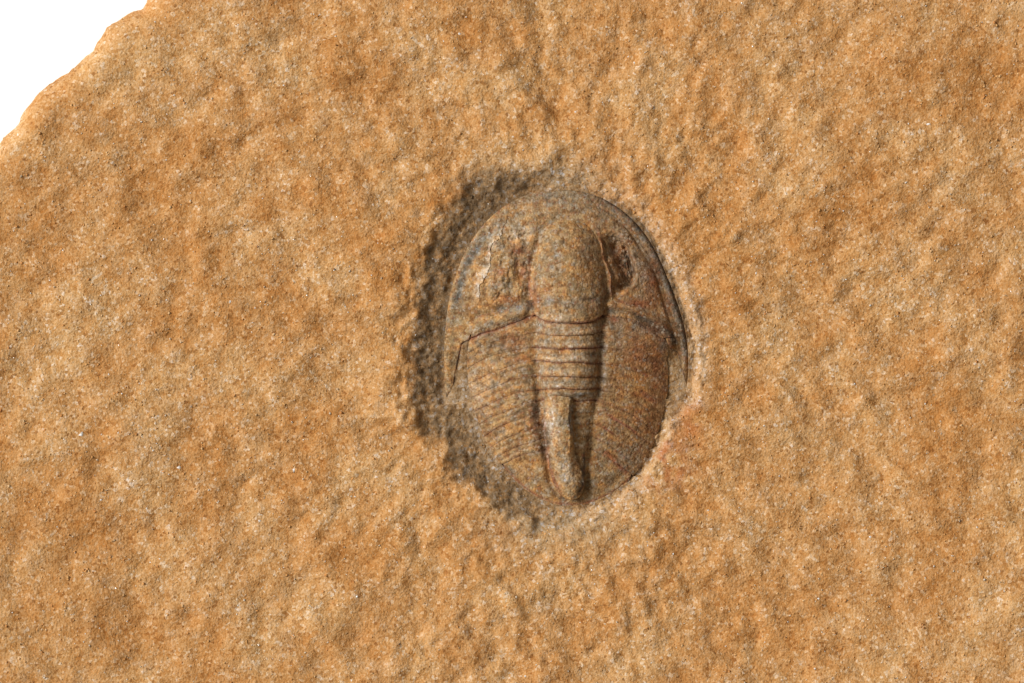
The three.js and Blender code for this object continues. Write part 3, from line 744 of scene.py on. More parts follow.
@dataclass
class Plate:
    """One plate of the shell: a patch of the plan with a relief over the shared vault.

    Subclasses give the patch and the relief.
    """

    plan: BodyPlan
    name: str = ""
    node: str = ""
    columns: int = 200
    rows: int = 18
    gap: float = 0.008  # mm between neighbouring plates
    grain: float = 0.03  # mm of granular relief
    seam_depth: float = 0.05  # mm
    thinnest: float = 0.1  # mm from the top to the underside
    crease: float = 50.0  # degrees between faces from which an edge is sharp

    def place(self, u: Array, v: Array) -> tuple[Array, Array]:
        """Plan points of the patch: u runs to the right and v to the rear, from 0 to 1."""
        raise NotImplementedError

    def relief(self, x: Array, y: Array, u: Array, v: Array) -> Array:
        """Height of the plate's top over the vault."""
        raise NotImplementedError

    def seam(self, x: Array, y: Array, u: Array, v: Array) -> Array:
        """1 on the seams with the neighbouring plates, falling to 0 within a short way."""
        return np.zeros_like(x)

    def roughness(self, x: Array, y: Array) -> Array:
        """How granular the surface is, from 0 to about 2."""
        return np.ones_like(x)

    def own_stains_and_painted_light(self, x: Array, y: Array, u: Array, v: Array) -> Masks:
        """Stains, with painted shade and highlights, that follow this plate's own shape."""
        return {}

    def texture(self, x: Array, y: Array) -> Array:
        """Granular relief: packed grains of two sizes and a finer noise."""
        points = paired(x, y)
        coarse = grains(points, 0.42, 21) - 0.75
        fine = grains(points, 0.2, 22) - 0.75
        return self.grain * (1.1 * coarse + 0.8 * fine + 0.5 * fractal(points, 0.9, 23, 3))

    def surface(self) -> Surface:
        """Builds the plate as a closed shell with its masks."""
        u, v = np.meshgrid(np.linspace(0, 1, self.columns), grown(self.rows))
        x, y = self.place(u, v)
        seam = self.seam(x, y, u, v)
        rough = self.roughness(x, y)
        height = self.relief(x, y, u, v) + rough * self.texture(x, y) - self.seam_depth * seam**2
        vault = self.plan.vault(x, y)
        masks = stains(x, y)
        for name, mask in self.own_stains_and_painted_light(x, y, u, v).items():
            masks[name] = np.maximum(masks[name], mask)
        masks["seam"] = seam
        # Painted shade: umber that darkens the plates towards the right margin, the side turned from the key
        # light, weaker towards the tail; partly a brown stain.
        rearward = lerp(0.4, 1.0, smoothstep(y, -8.0, -4.5))
        towards_margin = lerp(0.35, 1.0, smoothstep(x, 2.6, 5.6)) * smoothstep(x, 0.2, 1.6)
        towards_margin = towards_margin * (1 - 0.5 * smoothstep(x, 5.5, 6.3))
        masks["umber"] = towards_margin * rearward * (0.8 + 0.3 * noise(paired(x, y), 1.4, 28))
        shift_x, shift_y = self.plan.settle(x, y)
        bottom = np.minimum(vault - self.plan.shell, vault + height - self.thinnest)
        return shell_surface(
            shift_x + self.plan.centre[0], shift_y + self.plan.centre[1], vault + height, bottom, masks
        )


# How dark the joints are on the axis, from the head's to the tail's
RING_JOINTS = [1.0, 0.3, 0.95, 0.75, 0.5, 0.7, 0.95, 0.12, 0.08, 0.08, 0.2]
UNDER_SPINE = 0.16  # how much of the rings' relief is left beneath the spine


@dataclass
class ThoracicSegment(Plate):
    """One thoracic segment, between two lines across the body. Its ring and its pleurae have a low front
    band and a raised rear band, with a furrow between them that runs slantwise over the pleurae."""

    number: int = 0
    columns: int = 280
    rows: int = 17

    def __post_init__(self) -> None:
        """Names the segment by its place from the head, and measures it on the axis."""
        self.name = f"thorax_plate_{self.number + 1:02d}"
        self.node = f"thorax_segment_{self.number + 1:02d}"
        self.depth = self.plan.line_y(self.number) - self.plan.line_y(self.number + 1)

    def place(self, u: Array, v: Array) -> tuple[Array, Array]:
        """Between this segment's line and the next, less half a gap at each."""
        inset = 0.5 * self.gap / self.depth
        along = lerp(inset, 1 - inset, v)
        front = self.plan.line_point(self.number, 2 * u - 1)
        rear = self.plan.line_point(self.number + 1, 2 * u - 1)
        return between(front, rear, along)

    def relief(self, x: Array, y: Array, u: Array, v: Array) -> Array:
        """Ring, axial furrows, and the two bands of the pleurae."""
        plan, length = self.plan, self.plan.length
        half = plan.axis_half_width(y)
        reach = np.clip((np.abs(2 * u - 1) - plan.axis_share) / (1 - plan.axis_share), 0, 1)
        on_axis = falling(reach, 0.0, 0.04)
        ring = plan.axis_height(y) * plan.lobe(x, half)
        deep = np.where(x < 0, lerp(1.3, 0.4, smoothstep(y, -2.6, -0.4)), 0.8)
        furrows = deep * plan.furrow * bump(np.abs(x) - half, 0.018 * length)
        ring_bands = 0.04 * bump(v - 0.3, 0.2) + 0.07 * bump(v - 0.72, 0.2) - 0.02 * bump(v - 0.5, 0.1)
        ring_bands = ring_bands * (0.8 + 0.6 * noise(paired(x, y), 0.9, 35))
        slant = lerp(0.36, 0.6, reach)
        fade = smoothstep(reach, 0.02, 0.12) * (1 - 0.75 * smoothstep(reach, 0.7, 1.0))
        fade = fade * (0.55 + 0.45 * noise(paired(x, y), 2.3, 25)) * np.where(x < 0, 0.8, 0.62)
        pleural = 0.05 * bump(v - 0.55 * slant, 0.17) + 0.1 * bump(v - 0.5 - 0.5 * slant, 0.17)
        pleural = pleural - 0.08 * bump(v - slant, 0.11)
        covered = self.number >= SPINE_SEGMENT
        step = lerp(0.028, 0.03 if covered else 0.1, on_axis) * (v - 0.5)
        ring_bands = ring_bands * (UNDER_SPINE if covered else 1)
        furrows = furrows + 0.07 * self.behind_head(u, v, 0.2)
        return ring - furrows + step + on_axis * ring_bands + (1 - on_axis) * fade * pleural

    def own_stains_and_painted_light(self, x: Array, y: Array, u: Array, v: Array) -> Masks:
        """Grey, pale and ochre bands across each ring, painted shade in the axial furrows, and soot behind
        the head.
        """
        half = self.plan.axis_half_width(y)
        on_ring = falling(np.abs(x) / half, 0.8, 1.0)
        fresh = falling(-y, 3.0, 4.5)
        worn = 0.7 + 0.5 * noise(paired(x, y), 1.1, 27)
        # Painted shade in the axial furrows: strong on the left towards the tail, at half strength on the
        # right.
        deep = np.where(x < 0, lerp(1.1, 0.2, smoothstep(y, -2.4, -0.4)), 0.5)
        furrow = deep * bump(np.abs(x) - half, 0.3)
        lines = (1 - on_ring) * bump(v - 0.5, 0.12) * 0.5 * worn
        head_joint = np.where(x < 0, 0.5, 0.4) * self.behind_head(u, v, 0.16)
        return {
            "grey": 0.65 * on_ring * fresh * worn * bump(v - 0.45, 0.18),
            "pale": 0.45 * on_ring * worn * bump(v - 0.75, 0.16),
            "ochre": 0.35 * on_ring * worn * bump(v - 0.2, 0.12),
            "soot": np.maximum(0.6 * furrow * worn, head_joint),
            "rust": 0.5 * lines * smoothstep(np.abs(x) / half, 1.2, 1.6),
        }

    def behind_head(self, u: Array, v: Array, width: float) -> Array:
        """1 along the first segment's front edge on the pleurae, falling to 0 over a width in millimetres."""
        if self.number > 0:
            return np.zeros_like(u)
        pleural = smoothstep(np.abs(2 * u - 1), self.plan.axis_share, self.plan.axis_share + 0.1)
        return pleural * bump(v * self.depth, width)

    def seam(self, x: Array, y: Array, u: Array, v: Array) -> Array:
        """The joints fore and aft."""
        lateral = np.abs(2 * u - 1)
        crowding = lerp(1.0, 0.6, lateral)
        line = self.number + (v > 0.5)
        on_ring = np.interp(line, np.arange(SEGMENTS + 1), RING_JOINTS)
        patchy = fractal(paired(x, y), 1.3, 24, 3, 0.6)
        pleural = lerp(0.18, np.where(x < 0, 0.42, 0.34), smoothstep(line, 2, 6)) + 0.3 * patchy
        pleural = np.where(line == 0, np.where(x < 0, 1.0, 0.35), pleural)
        off_ring = smoothstep(lateral, self.plan.axis_share, self.plan.axis_share + 0.06)
        strength = lerp(on_ring, pleural, off_ring)
        width = np.where(line == 0, 0.12, 0.08)
        return np.clip(strength, 0.04, 1) * bump(np.minimum(v, 1 - v) * self.depth * crowding, width)

    def roughness(self, x: Array, y: Array) -> Array:
        """The rings are granular, the pleurae less so towards the margin."""
        out = np.abs(x) / self.plan.axis_half
        return 1.1 - 0.35 * smoothstep(out, 1.4, 2.8)


# The spine's middle and half width in millimetres, at equal steps from its base to its tip
SPINE_COURSE: Path = [(-0.6, 0.88), (-0.6, 0.88), (-0.56, 0.88), (-0.42, 0.88), (-0.05, 1.08), (0.22, 1.0)]


@dataclass
class AxialSpine(Plate):
    """The spine that grows back from the sixth ring: a round finger, left of the middle and curving in to its
    rounded tip."""

    thickness: float = 0.022
    columns: int = 46
    rows: int = 130
    grain: float = 0.05

    def place(self, u: Array, v: Array) -> tuple[Array, Array]:
        """A strip about a curved middle line, a little swollen behind its middle and round at the tip."""
        length = self.plan.length
        start = self.plan.line_y(SPINE_SEGMENT) + 0.028 * length
        end = self.plan.axis_end - 0.003 * length
        course = spline(np.array(SPINE_COURSE), v[:, 0])
        middle, half = course[:, :1], course[:, 1:] * np.sqrt(1 - (0.999 * v) ** 9)
        half = half * (1 + 0.05 * fractal(paired(0 * v, 9 * v), 2.0, 29))
        return middle + half * (2 * u - 1), lerp(start, end, v)

    def relief(self, x: Array, y: Array, u: Array, v: Array) -> Array:
        """A round finger, highest left of its middle, with faint rings near its base."""
        rise = lerp(0.35, 1, np.minimum(1, 5 * v)) * lerp(1, 0.62, smoothstep(v, 0.45, 0.75))
        shoulder = lerp(0.88, 0.66, smoothstep(v, 0.4, 0.75))
        section = smoothstep(u, -0.05, 0.4) * falling(u, shoulder, 1.06) + 0.08 * bump(u - 0.6, 0.25)
        rings = 0.02 * np.sin(v * 75) * falling(v, 0.3, 0.7)
        section = section * (1 - 0.7 * smoothstep(v, 0.84, 1.0) ** 2)
        base = self.plan.tail_axis_rise - 0.05
        return base + 0.12 + (self.thickness * self.plan.length + 0.06) * rise * section + rings * section

    def roughness(self, x: Array, y: Array) -> Array:
        """Granular towards the tip."""
        return 0.7 + 0.8 * smoothstep(-y, 5.5, 8)


@dataclass
class Pygidium(Plate):
    """The tail plate: a smooth field inside a narrow rim, with the end of the axial lobe and faint ribs."""

    name: str = "pygidium_plate"
    node: str = "pygidium"
    columns: int = 190
    rows: int = 64

    def corner(self, flank: Flank) -> float:
        """Turn of the plate's front corner."""
        x, y = self.plan.margin_point(SEGMENTS, flank)
        return math.atan2(y, x)

    def place(self, u: Array, v: Array) -> tuple[Array, Array]:
        """Between the last line and the tail's outline."""
        left = self.corner(LEFT) + math.radians(363)
        right = self.corner(RIGHT) - math.radians(3)
        angle = lerp(left, right + 2 * math.pi, u)
        front = self.plan.line_point(SEGMENTS, 0.96 * (2 * u - 1))
        rear = polar(self.plan.trunk_radius(angle), angle)
        along = lerp(4 * self.gap / self.plan.length, 1, v)
        return between(front, rear, along)

    def from_rim(self, x: Array, y: Array) -> Array:
        """How far inside the tail's outline points lie."""
        return self.plan.trunk_radius(np.arctan2(y, x)) - np.hypot(x, y)

    def relief(self, x: Array, y: Array, u: Array, v: Array) -> Array:
        """Axial lobe with its furrows, a rim furrow and faint ribs that fan from the axis."""
        plan, length = self.plan, self.plan.length
        half = plan.axis_half_width(y)
        furrows = np.where(half > 0, plan.furrow * bump(np.abs(x) - half, 0.013 * length), 0)
        rim = 0.3 * plan.furrow * bump(self.from_rim(x, y) - 0.025 * length, 0.015 * length)
        fan = np.degrees(np.arctan2(np.abs(x), plan.tail_front - 0.2 - y))
        ribs = np.where(x < 0, 0.032, 0.016) * np.sin(fan / 6.5) * smoothstep(fan, 15, 40)
        ribs = ribs * smoothstep(self.from_rim(x, y), 0.5, 1.2) * (1 + 0.5 * noise(paired(x, y), 0.9, 30))
        return plan.axis_height(y) * plan.lobe(x, half) - furrows - rim + ribs

    def seam(self, x: Array, y: Array, u: Array, v: Array) -> Array:
        """The joint in front, and the red line just inside the margin."""
        depth = np.abs(self.plan.tail_front - self.plan.axis_end)
        patchy = 0.5 + 0.3 * fractal(paired(x, y), 1.2, 31)
        return np.maximum(0.4 * bump(v * depth, 0.08), patchy * bump(self.from_rim(x, y) - 0.1, 0.05))

    def own_stains_and_painted_light(self, x: Array, y: Array, u: Array, v: Array) -> Masks:
        """Rust along the margin and ochre in the furrows between the ribs."""
        fan = np.degrees(np.arctan2(np.abs(x), self.plan.tail_front - 0.2 - y))
        rows = (0.5 - 0.5 * np.sin(fan / 6.5)) * smoothstep(fan, 15, 40) * (x < 0)
        margin = 0.75 * bump(self.from_rim(x, y) - 0.12, 0.1) * (0.6 + 0.5 * noise(paired(x, y), 1.0, 32))
        return {"rust": margin, "ochre": 0.6 * rows * smoothstep(self.from_rim(x, y), 0.3, 0.8)}

    def roughness(self, x: Array, y: Array) -> Array:
        """The smoothest plate."""
        return np.full_like(x, 0.5)


@dataclass
class HeadPlate(Plate):
    """What the cranidium and the free cheeks share: the head's relief and its rim."""

    border: float = 0.68  # mm
    grain: float = 0.034

    def from_rim(self, x: Array, y: Array) -> Array:
        """How far inside the animal's outline points lie, in millimetres."""
        return self.plan.body_radius(np.arctan2(y, x)) - np.hypot(x, y)

    def relief(self, x: Array, y: Array, u: Array, v: Array) -> Array:
        """Glabella, furrows, rim, eye ridges, rear border and the broken ground beside the glabella."""
        plan, length = self.plan, self.plan.length
        inside = plan.inside_glabella(x, y)
        swell = np.clip(inside, 0, 1) ** 0.92
        glabella = 1.15 * plan.axis_rise * swell
        occipital = 0.75 * plan.furrow * bump(y - plan.occipital_furrow, 0.012 * length) * swell
        depth = np.where(x < 0, 0.6, lerp(0.8, 0.2, band(y, 3.2, 8.0, 0.4)))
        axial = depth * plan.furrow * bump(inside, 0.2) * smoothstep(-y, -8.6, -7.2)
        eye = 0.013 * length * bump(np.abs(x) - 0.2 * length, 0.05 * length) * bump(y - 0.26 * length, 1.6)
        return (
            glabella - occipital - axial + self.rim_relief(x, y) + eye + self.rear_border(x, y)
            + self.broken_ground(x, y)
        )

    def rim_relief(self, x: Array, y: Array) -> Array:
        """The rim's crest and the furrow inside it, with a second fine furrow on the right."""
        from_rim = self.from_rim(x, y)
        furrow = 0.8 * self.plan.furrow * bump(from_rim - self.border, 0.5 * self.border)
        firm = lerp(0.45, 0.75, smoothstep(x, -3.0, 3.0)) * (0.85 + 0.35 * fractal(paired(x, y), 1.8, 45, 2))
        crest = firm * (0.05 * bump(from_rim - 0.3, 0.2) - furrow) - 0.1 * bump(from_rim, 0.1)
        outer = 0.13 * bump(from_rim, 0.25) * smoothstep(x, 2.0, 4.0)
        fine = 0.09 * bump(from_rim - 0.87, 0.09) * smoothstep(x, 2.5, 4.0)
        return crest - outer - fine

    def rear_border(self, x: Array, y: Array) -> Array:
        """The ridge along the head's rear edge, and the valley in front of it."""
        rear, _ = path_distance(x, y, self.rear_edge())
        ahead = np.abs(rear)
        left = 0.13 * bump(ahead - 0.36, 0.26) - 0.18 * bump(ahead - 0.98, 0.3)
        left = left - 0.05 * bump(ahead - 0.1, 0.2)
        right = 0.2 * bump(ahead - 0.7, 0.2) - 0.1 * bump(ahead - 1.2, 0.25) - 0.14 * bump(ahead - 0.25, 0.25)
        beside_axis = smoothstep(np.abs(x), 2.1, 2.7) * falling(np.abs(x), 5.8, 6.5)
        return beside_axis * np.where(x < 0, left, right)

    def broken_ground(self, x: Array, y: Array) -> Array:
        """On the right a thin ridge beside a pit, on the left torn ground and the line along the spine."""
        points = paired(x, y)
        ridge, along = path_distance(x, y, BROKEN_RIDGE)
        ridge = ridge + 0.1 * fractal(points, 0.8, 43, 3)
        edge = 0.07 * bump(ridge, 0.06) * smoothstep(along, 0.0, 0.15) * (0.8 + 1.1 * noise(points, 0.45, 44))
        pit_side, _ = path_distance(x, y, PIT_EDGE)
        in_pit = 0.35 * smoothstep(ridge, -0.02, 0.2) + 0.65 * smoothstep(ridge, 0.25, 0.9)
        in_pit = in_pit * smoothstep(-pit_side, -0.05, 0.3) * band(y, 3.4, 6.9, 0.6)
        pit = in_pit * (0.75 + 0.2 * fractal(points, 1.0, 41, 4, 0.65) + 0.05 * grains(points, 0.4, 47))
        rough = 0.17 * fractal(points, 1.3, 42, 4, 0.6) + 0.05 * grains(points, 0.5, 46) - 0.09
        line = Stroke(LEFT_GENAL_LINE, 0.1, 0.06, 0.05).at(x, y)
        return edge - pit + self.torn(x, y) * rough - line

    def torn(self, x: Array, y: Array) -> Array:
        """1 on the weathered ground between the left suture and the glabella."""
        across = smoothstep(x, -5.4, -5.0) * falling(x, -2.9, -2.0)
        return across * band(y, 3.0, 7.4, 0.5)

    def rim_stains_and_shade(self, x: Array, y: Array) -> Masks:
        """The right rim is blue-grey between two dark lines, with painted shade over the band, which is
        turned away from the light.
        """
        from_rim = self.from_rim(x, y)
        side = smoothstep(x, 0.5, 3.0) * smoothstep(y, -1.5, 0.5)
        worn = 0.85 + 0.3 * noise(paired(x, y), 1.1, 34)
        return {
            "grey": worn * side * band(from_rim, 0.12, 0.55, 0.1),
            # The last term is painted shade over the band between the two lines.
            "soot": side * worn * (bump(from_rim - 0.03, 0.16) + 0.7 * bump(from_rim - 0.76, 0.09)
                                   + 0.45 * band(from_rim, 0.1, 0.55, 0.1)),
        }

    def rear_edge(self) -> Path:
        """The head's rear edge as a path."""
        lateral = np.linspace(-1, 1, 41)
        x, y = self.plan.line_point(0.0, lateral)
        return list(zip(x.tolist(), y.tolist()))

    def roughness(self, x: Array, y: Array) -> Array:
        """The glabella and the weathered ground are granular, the cheeks smoother."""
        glabella = smoothstep(self.plan.inside_glabella(x, y), -0.1, 0.2)
        pitted = bump(x - 3.2, 0.7) * band(y, 3.2, 7.8, 0.4)
        return 0.8 + 0.8 * glabella + 1.2 * self.torn(x, y) + 1.3 * pitted


SUTURES: dict[Flank, Path] = {
    LEFT: [
        (-0.172, 0.438), (-0.21, 0.36), (-0.242, 0.327), (-0.247, 0.29), (-0.253, 0.243), (-0.275, 0.2),
        (-0.279, 0.155), (-0.295, 0.105),
    ],
    RIGHT: [
        (0.1, 0.452), (0.138, 0.385), (0.178, 0.32), (0.197, 0.27), (0.195, 0.21), (0.222, 0.16),
        (0.27, 0.11),
    ],
}
SUTURE_REAR = {LEFT: -0.985, RIGHT: 0.88}  # lateral shares of the head's rear edge


def suture(plan: BodyPlan, flank: Flank, t: Array) -> Array:
    """Points of a facial suture, from the front rim to the head's rear edge.

    Args:
        plan: The animal's plan.
        flank: The side.
        t: Places on it, from 0 to 1.

    Returns:
        Rows of x and y.
    """
    points = np.array(SUTURES[flank]) * plan.length
    angle = math.atan2(points[0][1], points[0][0])
    points[0] = float(plan.body_radius(angle)) * np.array([math.cos(angle), math.sin(angle)])
    rear = plan.line_point(0.0, SUTURE_REAR[flank])
    return spline(np.vstack([points, np.array(rear)]), t)


@dataclass
class Cranidium(HeadPlate):
    """The middle of the head: three Coons patches side by side, from suture to suture."""

    name: str = "cranidium_plate"
    node: str = "cranidium"
    columns: int = 241
    rows: int = 160

    def flank_line(self, sign: int, v: Array) -> Array:
        """The glabella's flank as a curve from the front rim to the rear edge."""
        plan = self.plan
        nose = 0.055 * plan.length
        angle = math.atan2(0.49 * plan.length, nose)
        end_x, end_y = plan.line_point(0.0, plan.axis_share)
        y = lerp(float(plan.body_radius(angle)) * math.sin(angle), end_y + 0.5 * self.gap, v**0.9)
        wide = plan.glabella_half * np.sqrt(np.clip(plan.inside_glabella(0.0, y), 0, 1))
        return np.column_stack([sign * lerp(np.maximum(wide, nose), end_x, v**6), y])

    def edge_curve(self, number: int, v: Array) -> Array:
        """The curves that run back between the patches, from the left suture to the right one."""
        if number in (1, 2):
            return self.flank_line(-1 if number == 1 else 1, v)
        flank = LEFT if number == 0 else RIGHT
        inset = 0.5 * self.gap / (HEAD_LENGTH * self.plan.length)
        points = suture(self.plan, flank, v * (1 - inset))
        return points - np.array([0.5 * flank.value * self.gap, 0])

    def place(self, u: Array, v: Array) -> tuple[Array, Array]:
        """The sum of the blends across and back, less the blend of the corners, on each patch."""
        laterals = [SUTURE_REAR[LEFT], -self.plan.axis_share, self.plan.axis_share,
                    SUTURE_REAR[RIGHT]]
        x, y = np.zeros_like(u), np.zeros_like(u)
        rows = v[:, 0]
        for k in range(3):
            columns = (u[0] * 3 >= k) & (u[0] * 3 <= k + 1)
            local = (u[0][columns] * 3 - k)[None, :, None]
            left, right = self.edge_curve(k, rows), self.edge_curve(k + 1, rows)
            start, end = math.atan2(*left[0][::-1]), math.atan2(*right[0][::-1])
            turn = lerp(start, end, local[0, :, 0])
            front = paired(*polar(self.plan.body_radius(turn), turn))[None]
            rear_x, rear_y = self.plan.line_point(
                0.0, lerp(laterals[k], laterals[k + 1], local[0, :, 0])
            )
            shifts = [
                edge[-1][0] - float(self.plan.line_point(0.0, laterals[k + i])[0])
                for i, edge in enumerate((left, right))
            ]
            rear = np.column_stack(
                [rear_x + lerp(shifts[0], shifts[1], local[0, :, 0]), rear_y + 0.5 * self.gap]
            )[None]
            back = rows[:, None, None]
            across = lerp(left[:, None], right[:, None], local)
            corners = lerp(lerp(left[0], right[0], local), lerp(left[-1], right[-1], local), back)
            patch = across + lerp(front, rear, back) - corners
            x[:, columns], y[:, columns] = patch[..., 0], patch[..., 1]
        return x, y

    def own_stains_and_painted_light(self, x: Array, y: Array, u: Array, v: Array) -> Masks:
        """The rim's."""
        return self.rim_stains_and_shade(x, y)

    def seam(self, x: Array, y: Array, u: Array, v: Array) -> Array:
        """The sutures on both sides and the joint behind."""
        side = np.minimum(u, 1 - u) * HEAD_WIDTH * self.plan.length
        behind = (1 - v) * HEAD_LENGTH * self.plan.length
        joint = np.where(x < 0, 1.0, 0.4)
        joint = lerp(1.0, joint, smoothstep(np.abs(x), 1.9, 2.3))
        return np.maximum(0.12 * bump(side, 0.06), joint * bump(behind, 0.11))


@dataclass
class FreeCheek(HeadPlate):
    """A free cheek with its genal spine: a polar patch from the suture out to the rim."""

    flank: Flank = LEFT
    columns: int = 48
    rows: int = 240

    def __post_init__(self) -> None:
        """Names the cheek by its side."""
        side = self.flank.name.lower()
        self.name = f"{side}_cheek_plate"
        self.node = f"{side}_free_cheek"

    def inward(self, u: Array) -> Array:
        """0 at the cheek's inner edge and 1 at the rim."""
        return u if self.flank is RIGHT else 1 - u

    def place(self, u: Array, v: Array) -> tuple[Array, Array]:
        """The inner edge is the suture, then the trunk's margin, from which the spine's edge swings out."""
        plan = self.plan
        samples = suture(plan, self.flank, np.linspace(0, 1, 241))
        rising = np.minimum.accumulate(np.arctan2(samples[:, 1], np.abs(samples[:, 0])))
        radii = np.hypot(samples[:, 0], samples[:, 1])
        rise = lerp(rising[0] - math.radians(0.5), plan.spine_tip, v)
        on_trunk, corner = plan.genal_inner(rise, self.flank)
        tip = smoothstep(rise, plan.spine_tip, plan.spine_tip + math.radians(7))
        turn = self.flank.turn(rise)
        outer = plan.head_radius(turn) - 0.25 * (1 - tip) ** 2
        trunk = plan.trunk_radius(turn) + 1.4 * self.gap
        jagged = 0.11 * fractal(paired(rise * plan.length, 0 * rise), 1.3, 26, 3, 0.6)
        on_suture = np.interp(rise, rising[::-1], radii[::-1]) - 0.09 + np.minimum(jagged, 0.06)
        near_corner = rise < corner + math.radians(4)
        on_suture = np.where(near_corner, np.maximum(on_suture, trunk), on_suture)
        inner = np.minimum(np.where(rise > corner, on_suture, on_trunk), outer - 0.06 - 0.12 * tip)
        radius = lerp(inner, outer, self.inward(u))
        return polar(radius, turn)

    def relief(self, x: Array, y: Array, u: Array, v: Array) -> Array:
        """The head's relief, with the left cheek's torn edge a little proud along the suture."""
        inner = self.inward(u)
        proud = 0.045 * bump(inner, 0.4) if self.flank is LEFT else 0.0
        proud = proud * smoothstep(y, 2.5, 3.2) * falling(y, 7.5, 8.5)
        sunk = 0.3 * smoothstep(v, 0.93, 1.0) ** 2
        return super().relief(x, y, u, v) + proud - sunk

    def own_stains_and_painted_light(self, x: Array, y: Array, u: Array, v: Array) -> Masks:
        """The left cheek's edge is paler along the suture, partly a painted highlight where the raised edge
        faces the light.
        """
        inner = self.inward(u)
        edge = bump(inner, 0.17) * band(y, 3.0, 7.6, 0.4) * (0.9 + 0.6 * noise(paired(x, y), 0.7, 33))
        masks = self.rim_stains_and_shade(x, y)
        # Paler along the left cheek's raised edge: partly pale stone, partly a painted highlight.
        masks["pale"] = edge * (self.flank is LEFT)
        masks["soot"] = np.maximum(masks["soot"], 0.9 * bump(inner, 0.12) * band(y, -2.6, 0.7, 0.3))
        return masks

    def seam(self, x: Array, y: Array, u: Array, v: Array) -> Array:
        """The suture, then the edge along the trunk."""
        inner = self.inward(u)
        behind = smoothstep(v, 0.62, 0.7)
        return lerp(0.05, 0.75 if self.flank is LEFT else 0.5, behind) * bump(inner, 0.07)


@dataclass
class Animal:
    """The trilobite: its head, its thorax with the axial spine, and its tail."""

    plan: BodyPlan

    def plates(self) -> list[Plate]:
        """Every plate that is built on its own."""
        segments = [ThoracicSegment(self.plan, number=number) for number in range(SEGMENTS)]
        cheeks = [FreeCheek(self.plan, flank=flank) for flank in Flank]
        return [Cranidium(self.plan), *cheeks, *segments, Pygidium(self.plan)]

    def build(self, material: bpy.types.Material) -> None:
        """Builds the plates, with the spine joined to the segment that carries it."""
        for plate in self.plates():
            surface = plate.surface()
            if plate.node == f"thorax_segment_{SPINE_SEGMENT:02d}":
                surface = surface.joined(AxialSpine(self.plan).surface())
            dress(surface.to_object(plate.name, plate.crease), material, [plate.node])


# ---- The slab ----

SLAB_OUTLINE: Path = [
    (-1, 0.16), (-0.828, 0.464), (-0.728, 0.614), (-0.603, 0.774), (-0.468, 0.924), (-0.2, 0.97), (0.15, 1),
    (0.5, 0.95), (0.85, 0.98), (0.965, 0.8), (1, 0.3), (0.965, -0.2), (0.99, -0.68), (0.86, -0.96),
    (0.45, -1), (0, -0.95), (-0.4, -0.985), (-0.78, -0.955), (-0.965, -0.7), (-0.985, -0.3),
]  # shares of half the slab's length and width

# The hollow round the animal: turns in degrees, its width and its depth in millimetres
HOLLOW = [
    (0, 0.6, 0.13), (30, 0.6, 0.1), (60, 0.7, 0.14), (80, 0.8, 0.28), (95, 1.0, 0.38), (110, 1.8, 0.46),
    (122, 2.4, 0.55), (135, 2.2, 0.56), (150, 2.1, 0.56), (174, 2.3, 0.56), (195, 2.3, 0.56),
    (205, 2.6, 0.56), (216, 3.0, 0.54), (232, 2.9, 0.5), (247, 2.4, 0.45), (255, 2.0, 0.4), (265, 1.3, 0.35),
    (280, 0.9, 0.3), (300, 0.8, 0.3), (320, 0.7, 0.3), (340, 0.5, 0.36),
]

# Sooty places on the rock: millimetres on the animal
SLAB_SOOT = [
    Patch(6.7, -3.8, 0.35, 0.9, 0.5), Patch(-5.0, 10.7, 1.3, 0.7, 0.7),
    Stroke(LEFT_GENAL_LINE, 0.1, 1.0, 0.05),
]

# Dips whose stone is a deeper orange: millimetres from the slab's middle
AMBER_DIPS = [
    Patch(21.0, 18.3, 3.4, 2.6), Patch(20.4, 7.0, 1.4, 2.0), Patch(16.8, -14.2, 1.7, 2.2),
    Patch(-26.5, -13.3, 3.4, 2.0), Patch(-31.0, -11.5, 2.6, 2.6), Patch(-24.0, -18.2, 3.6, 2.6),
    Patch(31.0, 15.5, 2.6, 3.2), Patch(-20.6, 7.2, 1.3, 2.6), Patch(-22.8, 9.6, 1.4, 1.6),
    Patch(11.2, 10.5, 1.2, 1.6), Patch(27.0, -4.0, 2.4, 1.6), Patch(-14.5, -5.5, 1.6, 1.2, 0.6),
    Patch(6.0, 17.5, 2.0, 1.4, 0.6), Patch(24.0, -17.0, 2.4, 1.8, 0.8), Patch(-9.0, -17.5, 2.2, 1.4, 0.6),
]


